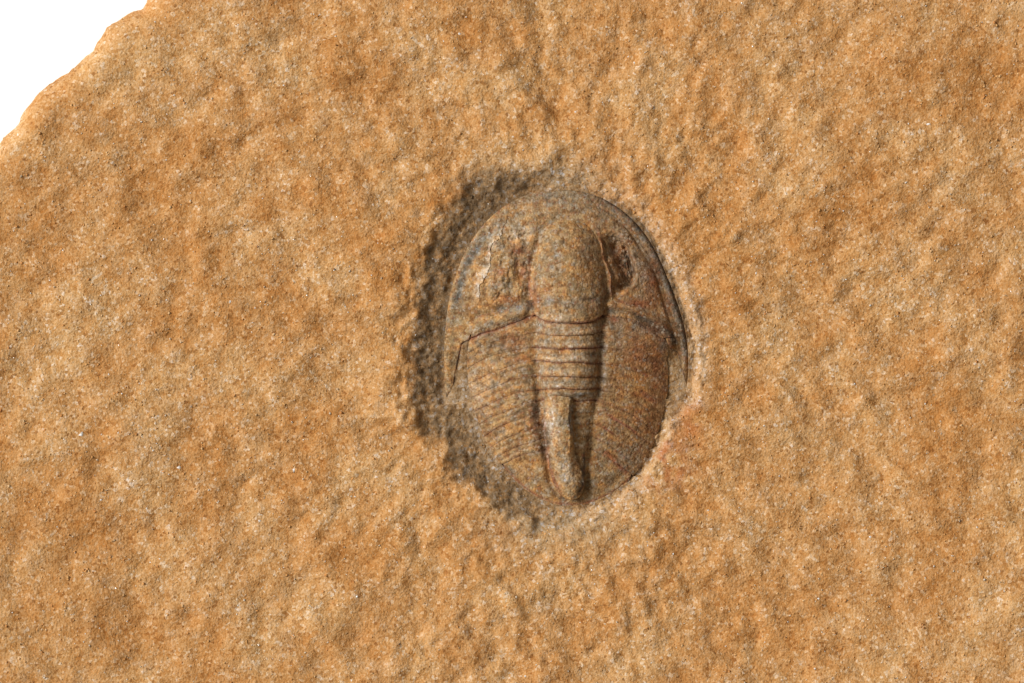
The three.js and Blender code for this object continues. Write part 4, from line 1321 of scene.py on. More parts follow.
@dataclass
class Slab:
    """The broken slab: a bedding plane with long swells, the hollow round the animal, rough broken sides
    and a flat underside."""

    plan: BodyPlan
    low: Array
    high: Array
    swell: float = 0.16  # mm, the height of the long swells
    crest: float = 1.42  # their highest point, in swells
    sectors: int = 600
    edge_slope: float = 1.3  # mm from the top's edge out to the widest part of the sides
    tuck: float = 0.12  # mm that rock may reach over the core, under the plates' edges
    stained_depth: float = 2.5  # mm below the top where the stains end
    crease: float = 60.0  # degrees between faces from which an edge is sharp

    @classmethod
    def from_frame(cls, plan: BodyPlan) -> "Slab":
        """Reads the slab's box from the frame."""
        low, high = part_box("stone_slab")
        return cls(plan, np.array(low) / METRES, np.array(high) / METRES)

    def angles(self) -> Array:
        """The turns of the sectors."""
        return np.arange(self.sectors) * 2 * math.pi / self.sectors

    def outline(self) -> Array:
        """Distance from the animal's centre to the broken edge in each sector, fitted to the box."""
        half = (self.high - self.low)[:2] / 2
        middle = (self.high + self.low)[:2] / 2
        knots = np.array(SLAB_OUTLINE) * half + middle
        edge = spline(knots, np.linspace(0, 1, 2881)[:-1], 0.25, closed=True)
        low, high = edge.min(0), edge.max(0)
        edge = (edge - (low + high) / 2) * (2 * half / (high - low)) + middle - self.plan.centre
        turn = np.unwrap(np.arctan2(edge[:, 1], edge[:, 0]))[::-1]
        radius = np.hypot(edge[:, 0], edge[:, 1])[::-1]
        turns = np.concatenate([turn - 2 * math.pi, turn, turn + 2 * math.pi])
        return np.interp(self.angles(), turns, np.tile(radius, 3))

    def blotches(self, x: Array, y: Array) -> Array:
        """The deeper orange dips in the bedding plane."""
        across, along = x + self.plan.centre[0], y + self.plan.centre[1]
        return np.max([patch.at(across, along) for patch in AMBER_DIPS], axis=0)

    def field(self, x: Array, y: Array) -> Array:
        """The bedding plane: long swells, then slanting low ripples and rough grain in falling sizes."""
        swell = np.sin(x / 9 + 1.4) * np.cos(y / 11 - 0.5) + 0.5 * np.sin(x / 5.3 - y / 6.1)
        slant = paired(0.8 * x - 0.6 * y, 1.7 * (0.6 * x + 0.8 * y))
        points = paired(x, y)
        rough = 0.26 * fractal(slant, 8.0, 51, 2) + 0.19 * fractal(slant, 3.0, 52, 2)
        rough = rough + 0.13 * fractal(points, 1.25, 53, 3, 0.62) - 0.22 * self.blotches(x, y)
        pits = 0.12 * smoothstep(noise(points, 1.1, 54), 0.2, 0.8)
        return self.plan.level + self.swell * swell + rough - pits

    def top(self, x: Array, y: Array) -> tuple[Array, Array, Array]:
        """The whole upper surface, with the hollow and the rock that laps against the plates.

        Args:
            x: Across, from the animal's centre.
            y: Towards the head.

        Returns:
            The height, the distance beyond the animal's outline, and the hollow's share: 1 on its floor,
            0 outside it.
        """
        plan = self.plan
        beyond = np.hypot(x, y) - plan.body_radius(np.arctan2(y, x))
        surface = self.field(x, y)
        share, floor = self.hollow(x, y, surface)
        height = self.lapped(x, y, beyond, surface, lerp(surface, floor, share))
        vault = plan.vault(x, y)
        core = vault - plan.shell - CORE_GAP - UNDER_PIT.at(x, y)
        height = np.where(beyond < -self.tuck, np.minimum(core, height), height)
        for flank in Flank:
            height = self.notch_filled(x, y, vault, height, flank)
        return height - Stroke(LEFT_GENAL_LINE, 0.1, 0.1, 0.05).at(x, y), beyond, share

    def hollow_at(self, turn: Array) -> tuple[Array, Array]:
        """The hollow's width and depth at turns in degrees."""
        turns, widths, depths = np.array(HOLLOW).T
        return np.interp(turn, turns, widths, period=360), np.interp(turn, turns, depths, period=360)

    def hollow(self, x: Array, y: Array, surface: Array) -> tuple[Array, Array]:
        """The hollow dug round the animal, with a ragged wall and a rough floor.

        Args:
            x: Across, from the animal's centre.
            y: Towards the head.
            surface: Height of the bedding plane.

        Returns:
            The hollow's share, 1 on its floor and 0 outside it, and the floor's height.
        """
        plan, points, angle = self.plan, paired(x, y), np.arctan2(y, x)
        tip = math.degrees(plan.spine_tip)
        clear = np.hypot(x, y) - plan.blended_radius(angle, tip - 16, tip + 1)
        width, depth = self.hollow_at(np.degrees(angle) % 360)
        ragged = width * (1 + 0.3 * fractal(points, 1.7, 61, 3, 0.6)) + 0.25 * fractal(points, 0.7, 62, 2)
        floor = (surface - plan.level) * 0.3 + plan.level - depth + 0.14 * fractal(points, 0.9, 63, 4, 0.65)
        return falling(clear / np.maximum(ragged, 0.2), 0.3, 1.35), floor

    def lapped(self, x: Array, y: Array, beyond: Array, surface: Array, height: Array) -> Array:
        """Laps rock against the plates' edges, and keeps it below the rim on the left.

        Args:
            x: Across, from the animal's centre.
            y: Towards the head.
            beyond: Distance beyond the animal's outline.
            surface: Height of the bedding plane, which the rock doesn't pass.
            height: Height without the lap.

        Returns:
            The height with it.
        """
        plan, angle = self.plan, np.arctan2(y, x)
        right = smoothstep(np.cos(angle), 0.0, 0.6) * smoothstep(np.sin(angle), -0.6, 0.0)
        edge = plan.body_radius(angle)
        rim = plan.vault(*polar(edge, angle))
        uneven = fractal(paired(x, y), 0.8, 64, 3)
        lap = rim - lerp(0.16, 0.2, right) - np.where(beyond > 0, 1.1, -2.0) * beyond + 0.08 * uneven
        height = np.where(beyond < 2, np.maximum(height, np.minimum(lap, surface)), height)
        near = falling(beyond, 0.15, 0.6) * smoothstep(-np.cos(angle), 0.0, 0.4)
        return lerp(height, np.minimum(height, rim - 0.15 + 0.05 * uneven), near)

    def notch_filled(self, x: Array, y: Array, vault: Array, height: Array, flank: Flank) -> Array:
        """Fills the notch between a genal spine and the trunk with crumbled stone.

        Args:
            x: Across, from the animal's centre.
            y: Towards the head.
            vault: Height of the plates' shared vault.
            height: Height without the fill.
            flank: The side.

        Returns:
            The height with it.
        """
        plan, rise, radius = self.plan, np.arctan2(y, np.abs(x)), np.hypot(x, y)
        inner, corner = plan.genal_inner(rise, flank)
        off_trunk = radius - plan.trunk_radius(np.arctan2(y, x))
        near, far, front, rear = plan.spine_tip + np.radians([2, 9, -6, -14])
        past = 0.6 * falling(rise, near, far)
        notch = smoothstep(off_trunk, -0.4, -0.2) * (x * flank.value > 0)
        notch = notch * falling(radius - inner, 0.15 + past, 0.3 + past)
        notch = notch * (rise < corner + math.radians(4)) * smoothstep(rise, rear, front)
        bare = smoothstep(off_trunk, -0.17, -0.05) * falling(radius - inner, 0.05, 0.16)
        crumbs = 0.05 * fractal(paired(x, y), 0.6, 65, 3)
        return lerp(height, np.maximum(height, vault - lerp(0.19, 0.07, bare) + crumbs), notch)

    def masks(self, x: Array, y: Array, beyond: Array, share: Array) -> Masks:
        """Where the rock is sooty or darkened with painted shade, pale, iron-stained or grey."""
        turn = np.degrees(np.arctan2(y, x)) % 360
        points = paired(x, y)
        blotch = 0.5 + 0.5 * fractal(points, 1.6, 71, 3)
        left = smoothstep(turn, 85, 112) * falling(turn, 250, 274)
        wall = smoothstep(share, 0.1, 0.65)
        inner = falling(beyond, 0.2, 1.1)
        lower_left = band(turn, 198, 245, 12)
        # On the left the hollow's floor is a dark stain, made darker as painted shade in place of the shadow
        # of the hollow's wall.
        soot = left * wall * (1 - 0.7 * inner * lower_left) * (0.7 + 0.6 * blotch)
        soot = soot * (1 + 0.25 * band(turn, 105, 140, 12))
        right = smoothstep(np.cos(np.radians(turn + 8)), 0.1, 0.8)
        halo = band(beyond, 0.1, 1.2, 0.5) * (1 - left) * (0.25 + 0.4 * blotch) * lerp(0.5, 1.2, right)
        halo = halo + 0.8 * inner * lower_left * wall
        # Painted shade: a dark line on the rock along the animal's outline, strongest by the head's right rim
        # and fading out to the left of the middle.
        shade = band(beyond, -0.2, 0.2, 0.12) * band(turn, 4, 68, 12)
        shade = shade + 0.6 * band(beyond, -0.2, 0.15, 0.1) * smoothstep(x, -3.0, 0.0)
        marks = [mark.at(x, y) for mark in SLAB_SOOT]
        # Painted shade on the rock beneath the plates' edges on the right.
        under = 0.4 * (beyond < -0.1) * (x > 0)
        soot = np.max([soot, (0.45 + 0.5 * blotch) * shade, under, *marks], axis=0)
        iron = Patch(6.2, -7.2, 1.6, 1.8, 0.9).at(x, y) + Patch(7.8, -4.4, 0.8, 1.3, 0.6).at(x, y)
        iron = iron * smoothstep(blotch, 0.3, 0.6) * smoothstep(beyond, 0.2, 0.8)
        lower = Patch(-1.0, -11.2, 4.0, 1.3, 0.8).at(x, y)
        upper = Patch(-0.5, 10.9, 3.8, 1.0, 0.7).at(x, y) + Patch(-5.2, 9.2, 1.6, 1.6, 0.8).at(x, y)
        grey = (lower + upper) * (0.5 + blotch * 0.7) + 0.35 * share + 0.3 * (beyond < -0.1)
        amber = self.blotches(x, y) * (0.5 + 0.7 * blotch)
        return {"soot": soot, "halo": halo, "iron": iron, "grey": np.clip(grey, 0, 1), "amber": amber}

    def build(self, material: bpy.types.Material) -> None:
        """Builds the slab as rings round the animal: over the core, across the hollow, out over the top,
        down the broken sides and in over the underside."""
        angle = self.angles()
        body = self.plan.body_radius(angle)
        outer = self.outline()
        direction = paired(np.cos(angle), np.sin(angle))
        rough_edge = 0.4 * fractal(direction * 12, 2.4, 81, 4, 0.6)
        outer = outer - 0.3 + np.minimum(rough_edge, 0.3)
        width = self.hollow_at(np.degrees(angle))[0] * 1.3 + 0.35
        radii = [body * share for share in (0.35, 0.6, 0.72, *np.linspace(0.77, 0.965, 15))]
        radii += [body - 0.2 + (width + 0.2) * t**1.1 for t in np.linspace(0, 1, 40)]
        start, end = body + width, outer - self.edge_slope
        radii += [lerp(start, end, t**1.06) for t in np.linspace(0, 1, 76)[1:]]
        rings = []
        for radius in radii:
            x, y = radius * direction[:, 0], radius * direction[:, 1]
            rings.append(np.column_stack([x, y, self.top(x, y)[0]]))
        rings += self.sides(outer, direction)
        rings += self.underside(outer, direction)
        middle = self.plan.vault(np.zeros(1), np.zeros(1))[0] - self.plan.shell - CORE_GAP
        points = np.vstack([[0, 0, middle], *rings, [0, 0, 0]])
        surface = self.closed(points, len(rings))
        _, beyond, share = self.top(points[:, 0], points[:, 1])
        on_top = points[:, 2] > self.plan.level - self.stained_depth
        masks = self.masks(points[:, 0], points[:, 1], beyond, share)
        surface.masks = {name: mask * on_top for name, mask in masks.items()}
        surface.points[:, :2] += self.plan.centre
        dress(surface.to_object("sandstone_slab", self.crease), material, ["stone_slab"])

    def sides(self, outer: Array, direction: Array) -> list[Array]:
        """Rings down the broken sides, which step in and out with the bedding."""
        inward = [self.edge_slope, 0.5, 0.15, 0.25, 0.4, 0.8, 1.1]
        below = [0.0, 0.4, 1.8, 3.6, 5.2, 8.0, 9.0]
        rings = []
        edge = (outer - self.edge_slope)[:, None] * direction
        lip = self.top(edge[:, 0], edge[:, 1])[0]
        for t in np.linspace(0, 1, 26)[1:]:
            fall = t**0.9 * below[-1]
            inset = np.interp(fall, below, inward)
            z = lip * (1 - fall / below[-1])
            at = (outer - inset)[:, None] * direction
            place = np.column_stack([at, 1.5 * z])
            bed = np.floor(z / 1.15 + 0.5 * noise(at, 14.0, 92) + 0.2 * noise(at, 3.0, 93))
            ledges = 0.45 * fractal(np.column_stack([at, 37.0 * bed]), 5.0, 91, 3, 0.6)
            ledges = (ledges + 0.22 * fractal(place, 1.6, 94, 4, 0.65)) * min(1, fall / 0.8)
            reach = (outer - inset + np.minimum(ledges, inset * 0.9))[:, None] * direction
            rings.append(np.column_stack([reach, z if t < 1 else np.zeros_like(z)]))
        return rings

    def underside(self, outer: Array, direction: Array) -> list[Array]:
        """Rings in over the flat underside, with a few shallow flaked hollows that rise above the flat."""
        rings = []
        for share in (0.92, 0.8, 0.66, 0.5, 0.32, 0.12):
            reach = (share * (outer - self.edge_slope))[:, None] * direction
            flakes = np.clip(0.45 * fractal(reach, 6.0, 95, 4) - 0.12, 0, 0.3)
            rings.append(np.column_stack([reach, flakes]))
        return rings

    def closed(self, points: Array, rings: int) -> Surface:
        """Faces between rings, with a fan at each pole."""
        index = 1 + np.arange(rings * self.sectors).reshape(rings, self.sectors)
        after = np.roll(index, -1, axis=1)
        quads = np.stack([index[:-1], index[1:], after[1:], after[:-1]], -1).reshape(-1, 4)
        first = np.column_stack([np.zeros(self.sectors, int), index[0], after[0]])
        last = np.column_stack([np.full(self.sectors, len(points) - 1), after[-1], index[-1]])
        return Surface(points, quads, np.vstack([first, last]))


# ---- Loose grains ----


@dataclass(frozen=True)
class GrainKind:
    """One kind of grain bedded in the slab's top."""

    name: str
    count: int
    reach: tuple[float, float]  # mm from its middle to its points, least and most
    flatness: float  # its height as a share of its width
    sunk: float  # how deep its middle lies, as a share of its height
    lean: float  # how far it tips from level: 0 lies flat, large leans at random
    seed: int
    crease: float = 180.0
    pebbles: tuple[tuple[float, float, float], ...] = ()


# Larger quartz pebbles: millimetres from the slab's middle, and their reach
PEBBLES = (
    (-26.9, -5.9, 0.24), (-20.8, -7.9, 0.17), (-23.3, -9.0, 0.19), (-16.1, -7.3, 0.16), (-13.6, -8.0, 0.17),
    (-15.8, -11.2, 0.18), (-25.7, -9.9, 0.15), (-3.3, 19.2, 0.2), (-13.1, 14.0, 0.18), (-12.6, -1.0, 0.19),
    (-17.6, 2.5, 0.17), (19.0, 7.5, 0.19), (22.4, -12.2, 0.16), (26.1, 13.6, 0.18), (14.2, 15.9, 0.15),
)
PEBBLE_GROWTH = 1.2  # makes up for the axes that are shortened at random

GRAIN_KINDS = [
    GrainKind("ochre_grains", 18000, (0.07, 0.15), 0.5, 0.8, 1.0, 201),
    GrainKind("quartz_grains", 4200, (0.05, 0.12), 0.5, 0.7, 1.0, 202, pebbles=PEBBLES),
    GrainKind("dark_grains", 260, (0.05, 0.1), 0.4, 0.6, 1.0, 203),
    GrainKind("mica_flakes", 600, (0.03, 0.065), 0.2, 0.0, 0.5, 204, crease=20.0),
]


@dataclass(frozen=True)
class Grains:
    """Grains of one kind, scattered over the slab's top and joined in one mesh of eight-sided crystals."""

    slab: Slab
    kind: GrainKind
    from_animal: float = 0.25  # mm
    from_edge: float = 1.9  # mm

    def centres(self, rng: np.random.Generator) -> Array:
        """Random places on the top, clear of the animal and of the broken edge."""
        slab = self.slab
        spots = rng.uniform(slab.low[:2], slab.high[:2], (3 * self.kind.count, 2)) - slab.plan.centre
        turn = np.arctan2(spots[:, 1], spots[:, 0])
        reach = np.hypot(spots[:, 0], spots[:, 1])
        outer = np.interp(turn, slab.angles(), slab.outline(), period=2 * math.pi)
        keep = (reach > slab.plan.body_radius(turn) + self.from_animal) & (reach < outer - self.from_edge)
        return spots[keep][: self.kind.count]

    def surface(self) -> Surface:
        """Builds the grains: each has six points, pushed out by its own size and turned at random."""
        rng = np.random.default_rng(self.kind.seed)
        spots = self.centres(rng)
        count = len(spots)
        reach = rng.uniform(*self.kind.reach, count) * rng.uniform(0.7, 1.0, count)
        large = np.array(self.kind.pebbles).reshape(-1, 3)
        spots[: len(large)] = large[:, :2] - self.slab.plan.centre
        reach[: len(large)] = PEBBLE_GROWTH * large[:, 2]
        axes = np.linalg.qr(rng.normal(0, self.kind.lean / 4, (count, 3, 3)) + np.eye(3))[0]
        axes = axes * np.sign(np.linalg.det(axes))[:, None, None]
        scale = reach[:, None] * rng.uniform(0.7, 1.25, (count, 3)) * [1, 1, self.kind.flatness]
        tips = np.array([[1, 0, 0], [-1, 0, 0], [0, 1, 0], [0, -1, 0], [0, 0, 1], [0, 0, -1]], float)
        points = np.einsum("nij,kj,nj->nki", axes, tips, scale)
        top, beyond, share = self.slab.top(spots[:, 0], spots[:, 1])
        height = top - self.kind.sunk * reach * self.kind.flatness
        points += np.column_stack([spots + self.slab.plan.centre, height])[:, None]
        masks = self.slab.masks(spots[:, 0], spots[:, 1], beyond, share)
        masks["tone"] = rng.uniform(0, 1, count)
        masks["tone"][: len(large)] = 1.0
        faces = np.array(
            [[x, y, z] if (x + y + z) % 2 == 0 else [x, z, y] for x, y, z in product((0, 1), (2, 3), (4, 5))]
        )
        triangles = (faces[None] + 6 * np.arange(count)[:, None, None]).reshape(-1, 3)
        spread = {name: np.repeat(mask, 6) for name, mask in masks.items()}
        return Surface(points.reshape(-1, 3), np.zeros((0, 4), int), triangles, spread)

    def build(self, material: bpy.types.Material) -> None:
        """Writes the grains and dresses them."""
        piece = self.surface().to_object(self.kind.name, self.kind.crease)
        dress(piece, material, ["stone_slab"])


# ---- Finishes ----


class Recipe:
    """A material's node tree, with short calls for the nodes that the finishes share."""

    def __init__(self, name: str) -> None:
        """Starts an empty material with one shader."""
        self.material = bpy.data.materials.new(name)
        self.material.use_nodes = True
        self.tree = self.material.node_tree
        self.tree.nodes.clear()
        output = self.tree.nodes.new("ShaderNodeOutputMaterial")
        self.shader = self.tree.nodes.new("ShaderNodeBsdfPrincipled")
        self.tree.links.new(self.shader.outputs[0], output.inputs[0])
        self.coordinates = self.tree.nodes.new("ShaderNodeTexCoord").outputs["Object"]

    def put(self, socket: Socket, value: object) -> None:
        """Links a socket, or sets its value."""
        if isinstance(value, Socket):
            self.tree.links.new(value, socket)
        elif isinstance(value, tuple) and len(value) == 3 and socket.type == "RGBA":
            socket.default_value = (*value, 1.0)
        else:
            socket.default_value = value

    def node(self, kind: str, inputs: dict, output: int | str = 0, **settings: str) -> Socket:
        """Adds a node with its settings and inputs, and hands back one of its outputs."""
        node = self.tree.nodes.new(f"ShaderNode{kind}")
        for name, value in settings.items():
            setattr(node, name, value)
        for name, value in inputs.items():
            self.put(node.inputs[name], value)
        return node.outputs[output]

    def noise(self, size: float, detail: float = 3, keep: float = 0.55) -> Socket:
        """Noise of a size in millimetres, from 0 to 1."""
        scale = 1 / (size * METRES)
        inputs = {"Vector": self.coordinates, "Scale": scale, "Detail": detail, "Roughness": keep}
        return self.node("TexNoise", inputs, "Fac")

    def cells(self, size: float, output: str = "Color") -> Socket:
        """Packed grains of a size in millimetres: a random colour for each, or the distance to its middle."""
        return self.node("TexVoronoi", {"Vector": self.coordinates, "Scale": 1 / (size * METRES)}, output)

    def part(self, colour: Socket, channel: int) -> Socket:
        """One channel of a colour."""
        return self.node("SeparateColor", {"Color": colour}, channel)

    def mask(self, name: str) -> Socket:
        """A mask that the mesh carries."""
        return self.node("Attribute", {}, "Fac", attribute_name=name)

    def ramp(self, factor: object, stops: Stops) -> Socket:
        """A colour ramp through stops."""
        colour = self.node("ValToRGB", {"Fac": factor})
        elements = colour.node.color_ramp.elements
        while len(elements) < len(stops):
            elements.new(0.5)
        for element, (place, stop) in zip(elements, stops):
            element.position = place
            element.color = (*stop, 1)
        return colour

    def span(self, value: object, low: float, high: float) -> Socket:
        """0 below low and 1 above high, smooth between them."""
        inputs = {"Value": value, "From Min": low, "From Max": high}
        return self.node("MapRange", inputs, "Result", interpolation_type="SMOOTHSTEP")

    def math(self, operation: str, a: object, b: object) -> Socket:
        """A sum, a product, or a product plus a half for MULTIPLY_ADD."""
        return self.node("Math", {0: a, 1: b, 2: 0.5}, operation=operation)

    def mix(self, factor: object, a: object, b: object, blend: str = "MIX") -> Socket:
        """Mixes two colours, whose sockets are the mix node's seventh and eighth."""
        return self.node("Mix", {0: factor, 6: a, 7: b}, 2, data_type="RGBA", blend_type=blend)

    def tinted(self, colour: object, share: float, pattern: object, stops: Stops) -> Socket:
        """Multiplies a colour by a share of a ramp that runs over a pattern."""
        return self.mix(share, colour, self.ramp(pattern, stops), "MULTIPLY")

    def dotted(
        self, colour: Socket, dot: Colour, share: float, pattern: Socket, low: float, high: float
    ) -> Socket:
        """Lays a share of another colour where a pattern is above low, in full from high."""
        return self.mix(self.math("MULTIPLY", self.span(pattern, low, high), share), colour, dot)

    def stained(self, colour: object, mask: str, size: float, stain: Colour, most: float) -> Socket:
        """Lays a stain over a colour where a mask says, broken up by noise of a size."""
        broken = self.span(self.noise(size, 4, 0.65), 0.28, 0.62)
        share = self.math("MULTIPLY", self.mask(mask), self.math("MULTIPLY_ADD", broken, 0.75))
        return self.mix(self.math("MULTIPLY", share, most), colour, stain)

    def bump(self, height: object, distance: float, below: Socket | None = None) -> Socket:
        """Raises the surface by a height times a distance in millimetres."""
        inputs = {"Height": height, "Distance": distance * METRES, "Strength": 1.0}
        return self.node("Bump", inputs if below is None else {**inputs, "Normal": below})

    def finish(self, colour: object, roughness: object, normal: object, gloss: float) -> bpy.types.Material:
        """Joins the parts to the shader."""
        self.put(self.shader.inputs["Base Color"], colour)
        self.put(self.shader.inputs["Roughness"], roughness)
        if normal is not None:
            self.put(self.shader.inputs["Normal"], normal)
        self.shader.inputs["Specular IOR Level"].default_value = gloss
        return self.material


@dataclass(frozen=True)
class SandstoneFinish:
    """Fine ochre sandstone: grains of several colours, iron-brown mottling, and stains in the hollow, with
    painted shade in the hollow and along the animal's outline.
    """

    deep: Colour = (0.465, 0.215, 0.064)
    light: Colour = (0.545, 0.315, 0.13)
    amber: Colour = (0.42, 0.17, 0.038)
    # Colour of the soot stains, also used as painted shade in the hollow and along the animal's outline.
    soot: Colour = (0.165, 0.102, 0.05)
    halo: Colour = (0.42, 0.295, 0.175)
    iron: Colour = (0.36, 0.11, 0.03)
    grey: Colour = (0.30, 0.22, 0.13)

    def material(self) -> bpy.types.Material:
        """Builds the material."""
        r = Recipe("ochre_sandstone")
        tone = r.mix(r.span(r.noise(5.0, 5, 0.6), 0.3, 0.7), self.deep, self.light)
        mottle = [(0.25, (0.84, 0.68, 0.46)), (0.5, (1, 1, 1)), (0.75, (1.04, 1.14, 1.42))]
        grain = [
            (0.0, (0.55, 0.42, 0.28)), (0.12, (0.9, 0.8, 0.62)), (0.5, (1, 1, 1)),
            (0.85, (1.08, 1.14, 1.25)), (1.0, (1.3, 1.75, 2.9)),
        ]
        dust = [(0.3, (0.78, 0.66, 0.46)), (0.5, (1, 1, 1)), (0.7, (1.14, 1.3, 1.7))]
        colour = r.tinted(tone, 0.9, r.noise(0.9, 4, 0.65), mottle)
        for mask, size, most in (
            ("amber", 1.5, 0.5), ("grey", 0.5, 0.8), ("halo", 0.6, 0.9), ("iron", 0.5, 0.9),
            ("soot", 0.5, 0.9),
        ):
            colour = r.stained(colour, mask, size, getattr(self, mask), most)
        colour = r.tinted(colour, 0.8, r.part(r.cells(0.17), 0), grain)
        colour = r.tinted(colour, 0.8, r.noise(0.11, 2, 0.6), dust)
        grit = r.math("ADD", r.noise(0.22, 4, 0.75), r.math("MULTIPLY", r.cells(0.15, "Distance"), -0.35))
        normal = r.bump(grit, 0.075, r.bump(r.noise(0.9, 3), 0.16))
        roughness = r.span(r.noise(0.4, 2), -1.6, 0.6)
        return r.finish(colour, roughness, normal, 0.25)


@dataclass(frozen=True)
class ShellFinish:
    """The shell's stone: tan and olive, with rust in its seams, blue-grey furrows and ochre patches, and
    painted shade, highlights and glints.
    """

    olive: Colour = (0.232, 0.143, 0.061)
    tan: Colour = (0.355, 0.202, 0.073)
    rust: Colour = (0.23, 0.075, 0.03)
    seam: Colour = (0.19, 0.07, 0.03)
    grey: Colour = (0.17, 0.145, 0.105)
    # Colour of the umber stain that also serves as painted shade on the right side.
    umber: Colour = (0.23, 0.10, 0.028)
    crystal_and_glint: Colour = (0.44, 0.36, 0.27)
    slate: Colour = (0.20, 0.16, 0.11)
    amber: Colour = (0.40, 0.205, 0.065)
    ochre: Colour = (0.42, 0.20, 0.055)
    pale: Colour = (0.58, 0.44, 0.29)
    # Colour of the soot stains, also used as painted shade in the furrows, over the right rim and beside the
    # spine.
    soot: Colour = (0.075, 0.045, 0.022)

    def material(self) -> bpy.types.Material:
        """Builds the material."""
        r = Recipe("fossil_shell_stone")
        fine = [(0.36, (0.48, 0.36, 0.23)), (0.51, (1, 1, 1)), (0.66, (1.28, 1.43, 1.75))]
        hue = [(0.36, (1.18, 0.9, 0.52)), (0.5, (1, 1, 1)), (0.64, (0.88, 1.02, 1.25))]
        grain = [
            (0.0, (0.5, 0.38, 0.26)), (0.2, (0.92, 0.9, 0.85)), (0.85, (1.08, 1.1, 1.15)),
            (1.0, (1.5, 1.8, 2.6)),
        ]
        colour = r.mix(r.span(r.noise(1.1, 5, 0.6), 0.35, 0.65), self.olive, self.tan)
        colour = r.dotted(colour, self.slate, 0.6, r.noise(0.65, 4, 0.6), 0.5, 0.68)
        colour = r.dotted(colour, self.amber, 0.7, r.noise(0.85, 4, 0.6), 0.52, 0.7)
        for mask, size, most in (
            ("umber", 1.2, 0.9), ("ochre", 0.5, 0.9), ("grey", 0.6, 0.9), ("rust", 0.3, 1.0),
            ("pale", 0.3, 0.9), ("soot", 0.4, 1.0), ("seam", 0.9, 0.9),
        ):
            colour = r.stained(colour, mask, size, getattr(self, mask), most)
        colour = r.tinted(colour, 0.9, r.noise(0.42, 5, 0.72), fine)
        colour = r.tinted(colour, 0.8, r.noise(0.5, 4, 0.65), hue)
        # The palest cells of this grain ramp and the pale crystal dots below partly stand in for glints:
        # painted glints on the shell.
        colour = r.tinted(colour, 0.6, r.part(r.cells(0.11), 0), grain)
        crystals = r.cells(0.15)
        colour = r.dotted(colour, self.crystal_and_glint, 0.4, r.part(crystals, 1), 0.84, 0.99)
        colour = r.dotted(colour, self.rust, 0.4, r.part(crystals, 2), 0.84, 0.98)
        grit = r.math("ADD", r.noise(0.14, 3, 0.7), r.math("MULTIPLY", r.cells(0.15, "Distance"), -0.5))
        normal = r.bump(grit, 0.06)
        roughness = r.span(r.noise(0.5, 3), -1.1, 0.9)
        return r.finish(colour, roughness, normal, 0.4)


@dataclass(frozen=True)
class GrainFinish:
    """Loose grains: each takes one tone between the darkest and the palest, with a fine mottle."""

    name: str
    tones: tuple[Colour, ...]
    roughness: tuple[float, float]
    gloss: float
    stained: float  # how much of the hollow's stains and painted shade it takes

    def material(self) -> bpy.types.Material:
        """Builds the material."""
        r = Recipe(self.name)
        places = np.linspace(0, 1, len(self.tones)).tolist()
        colour = r.ramp(r.mask("tone"), list(zip(places, self.tones)))
        speckle = [(0.3, (0.8, 0.76, 0.7)), (0.7, (1.12, 1.14, 1.18))]
        colour = r.tinted(colour, 0.8, r.noise(0.06, 3, 0.6), speckle)
        colour = r.stained(colour, "iron", 0.5, SandstoneFinish.iron, 0.8 * self.stained)
        colour = r.stained(colour, "soot", 0.5, SandstoneFinish.soot, self.stained)
        roughness = r.span(r.noise(0.1, 2), *self.roughness)
        return r.finish(colour, roughness, r.bump(r.noise(0.05, 3, 0.6), 0.01), self.gloss)


GRAIN_FINISHES = {
    "ochre_grains": GrainFinish(
        "ochre_grain_stone",
        ((0.42, 0.17, 0.045), (0.52, 0.25, 0.08), (0.56, 0.31, 0.115), (0.56, 0.37, 0.19)),
        (-1.2, 0.7), 0.3, 0.95,
    ),
    "quartz_grains": GrainFinish(
        "quartz_grain_stone",
        ((0.44, 0.28, 0.14), (0.48, 0.36, 0.23), (0.52, 0.43, 0.32), (0.60, 0.55, 0.49)),
        (-0.5, 1.6), 0.6, 0.8,
    ),
    "dark_grains": GrainFinish(
        "dark_grain_stone",
        ((0.07, 0.045, 0.03), (0.16, 0.09, 0.045), (0.28, 0.16, 0.08)),
        (-0.8, 1.0), 0.4, 0.5,
    ),
    "mica_flakes": GrainFinish(
        "mica_flake_stone",
        ((0.62, 0.55, 0.44), (0.78, 0.74, 0.66), (0.85, 0.84, 0.8)),
        (0.1, 2.4), 1.0, 0.3,
    ),
}


# ---- Studio ----


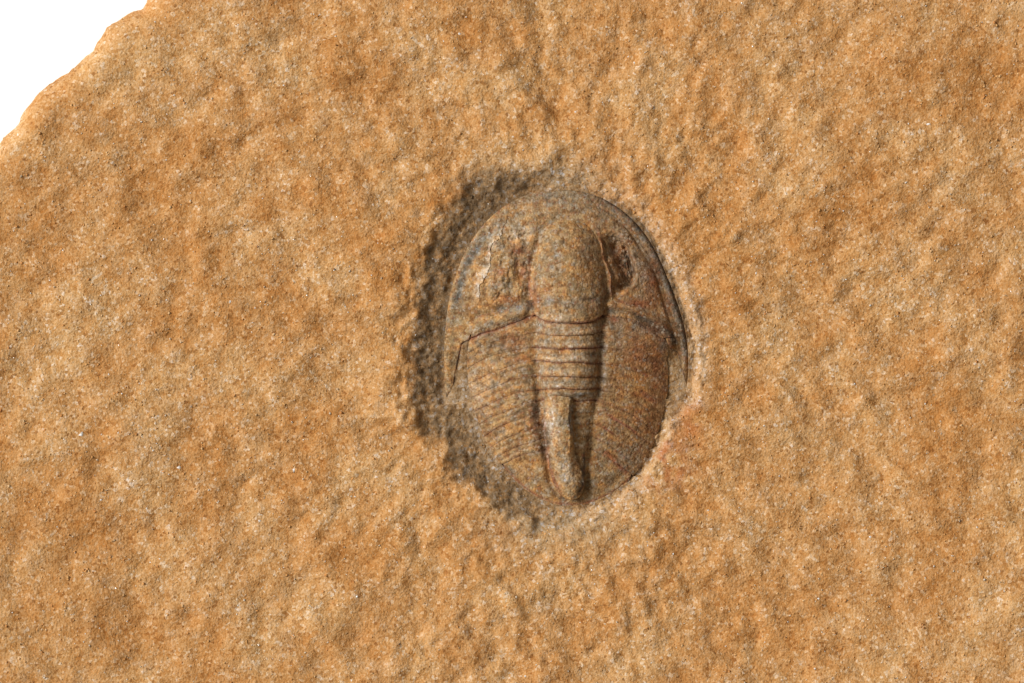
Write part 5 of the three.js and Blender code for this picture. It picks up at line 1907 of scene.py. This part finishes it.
@dataclass
class Studio:
    """A pale floor, a soft key light from the left, an even sky and a camera that looks straight down."""

    plan: BodyPlan
    view_width: float = 64.0  # mm of the slab's surface across the camera's view
    distance: float = 600.0  # mm
    key_elevation: float = 35.0  # degrees
    key_turn: float = 162.0  # degrees from +X, where the light comes from
    key_softness: float = 0.5  # the light's spread in radians
    key_power: float = 5.15
    sky_power: float = 0.25

    def build(self) -> None:
        """Makes the floor, the lights and the camera."""
        scene = bpy.context.scene
        scene.view_settings.view_transform = "Standard"
        floor = bpy.data.meshes.new("pale_floor")
        half, drop = 2.0, -0.02 * METRES  # metres, just clear of the slab's underside
        corners = [(x * half, y * half, drop) for x, y in ((-1, -1), (1, -1), (1, 1), (-1, 1))]
        floor.from_pydata(corners, [], [(0, 1, 2, 3)])
        ground = bpy.data.objects.new("pale_floor", floor)
        recipe = Recipe("pale_floor_paint")
        floor.materials.append(recipe.finish((0.93, 0.93, 0.93), 0.9, None, 0.1))
        scene.collection.objects.link(ground)

        world = bpy.data.worlds.new("even_sky")
        scene.world = world
        world.use_nodes = True
        background = world.node_tree.nodes["Background"]
        background.inputs["Color"].default_value = (1, 0.91, 0.78, 1)
        background.inputs["Strength"].default_value = self.sky_power

        light = bpy.data.lights.new("key_light", "SUN")
        light.energy = self.key_power
        light.angle = self.key_softness
        key = bpy.data.objects.new("key_light", light)
        turn, rise = math.radians(self.key_turn), math.radians(self.key_elevation)
        source = Vector((math.cos(turn) * math.cos(rise), math.sin(turn) * math.cos(rise), math.sin(rise)))
        key.rotation_euler = source.to_track_quat("Z", "Y").to_euler()
        scene.collection.objects.link(key)

        lens = bpy.data.cameras.new("camera")
        lens.sensor_width = 36.0
        lens.lens = lens.sensor_width * self.distance / self.view_width
        lens.clip_start, lens.clip_end = 0.05, 20.0
        camera = bpy.data.objects.new("camera", lens)
        low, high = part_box("stone_slab")
        height = (self.plan.level + self.distance) * METRES
        camera.location = ((low.x + high.x) / 2, (low.y + high.y) / 2, height)
        scene.collection.objects.link(camera)
        scene.camera = camera


def main() -> None:
    """Builds the slab, the animal and the studio."""
    logging.basicConfig(level=logging.INFO, format="%(message)s")
    plan = BodyPlan.from_frame()
    log.info("animal: %.2f mm long, slab level %.2f", plan.length, plan.level)
    slab = Slab.from_frame(plan)
    slab.build(SandstoneFinish().material())
    for kind in GRAIN_KINDS:
        Grains(slab, kind).build(GRAIN_FINISHES[kind.name].material())
    Animal(plan).build(ShellFinish().material())
    Studio(plan).build()


if __name__ == "__main__":
    main()
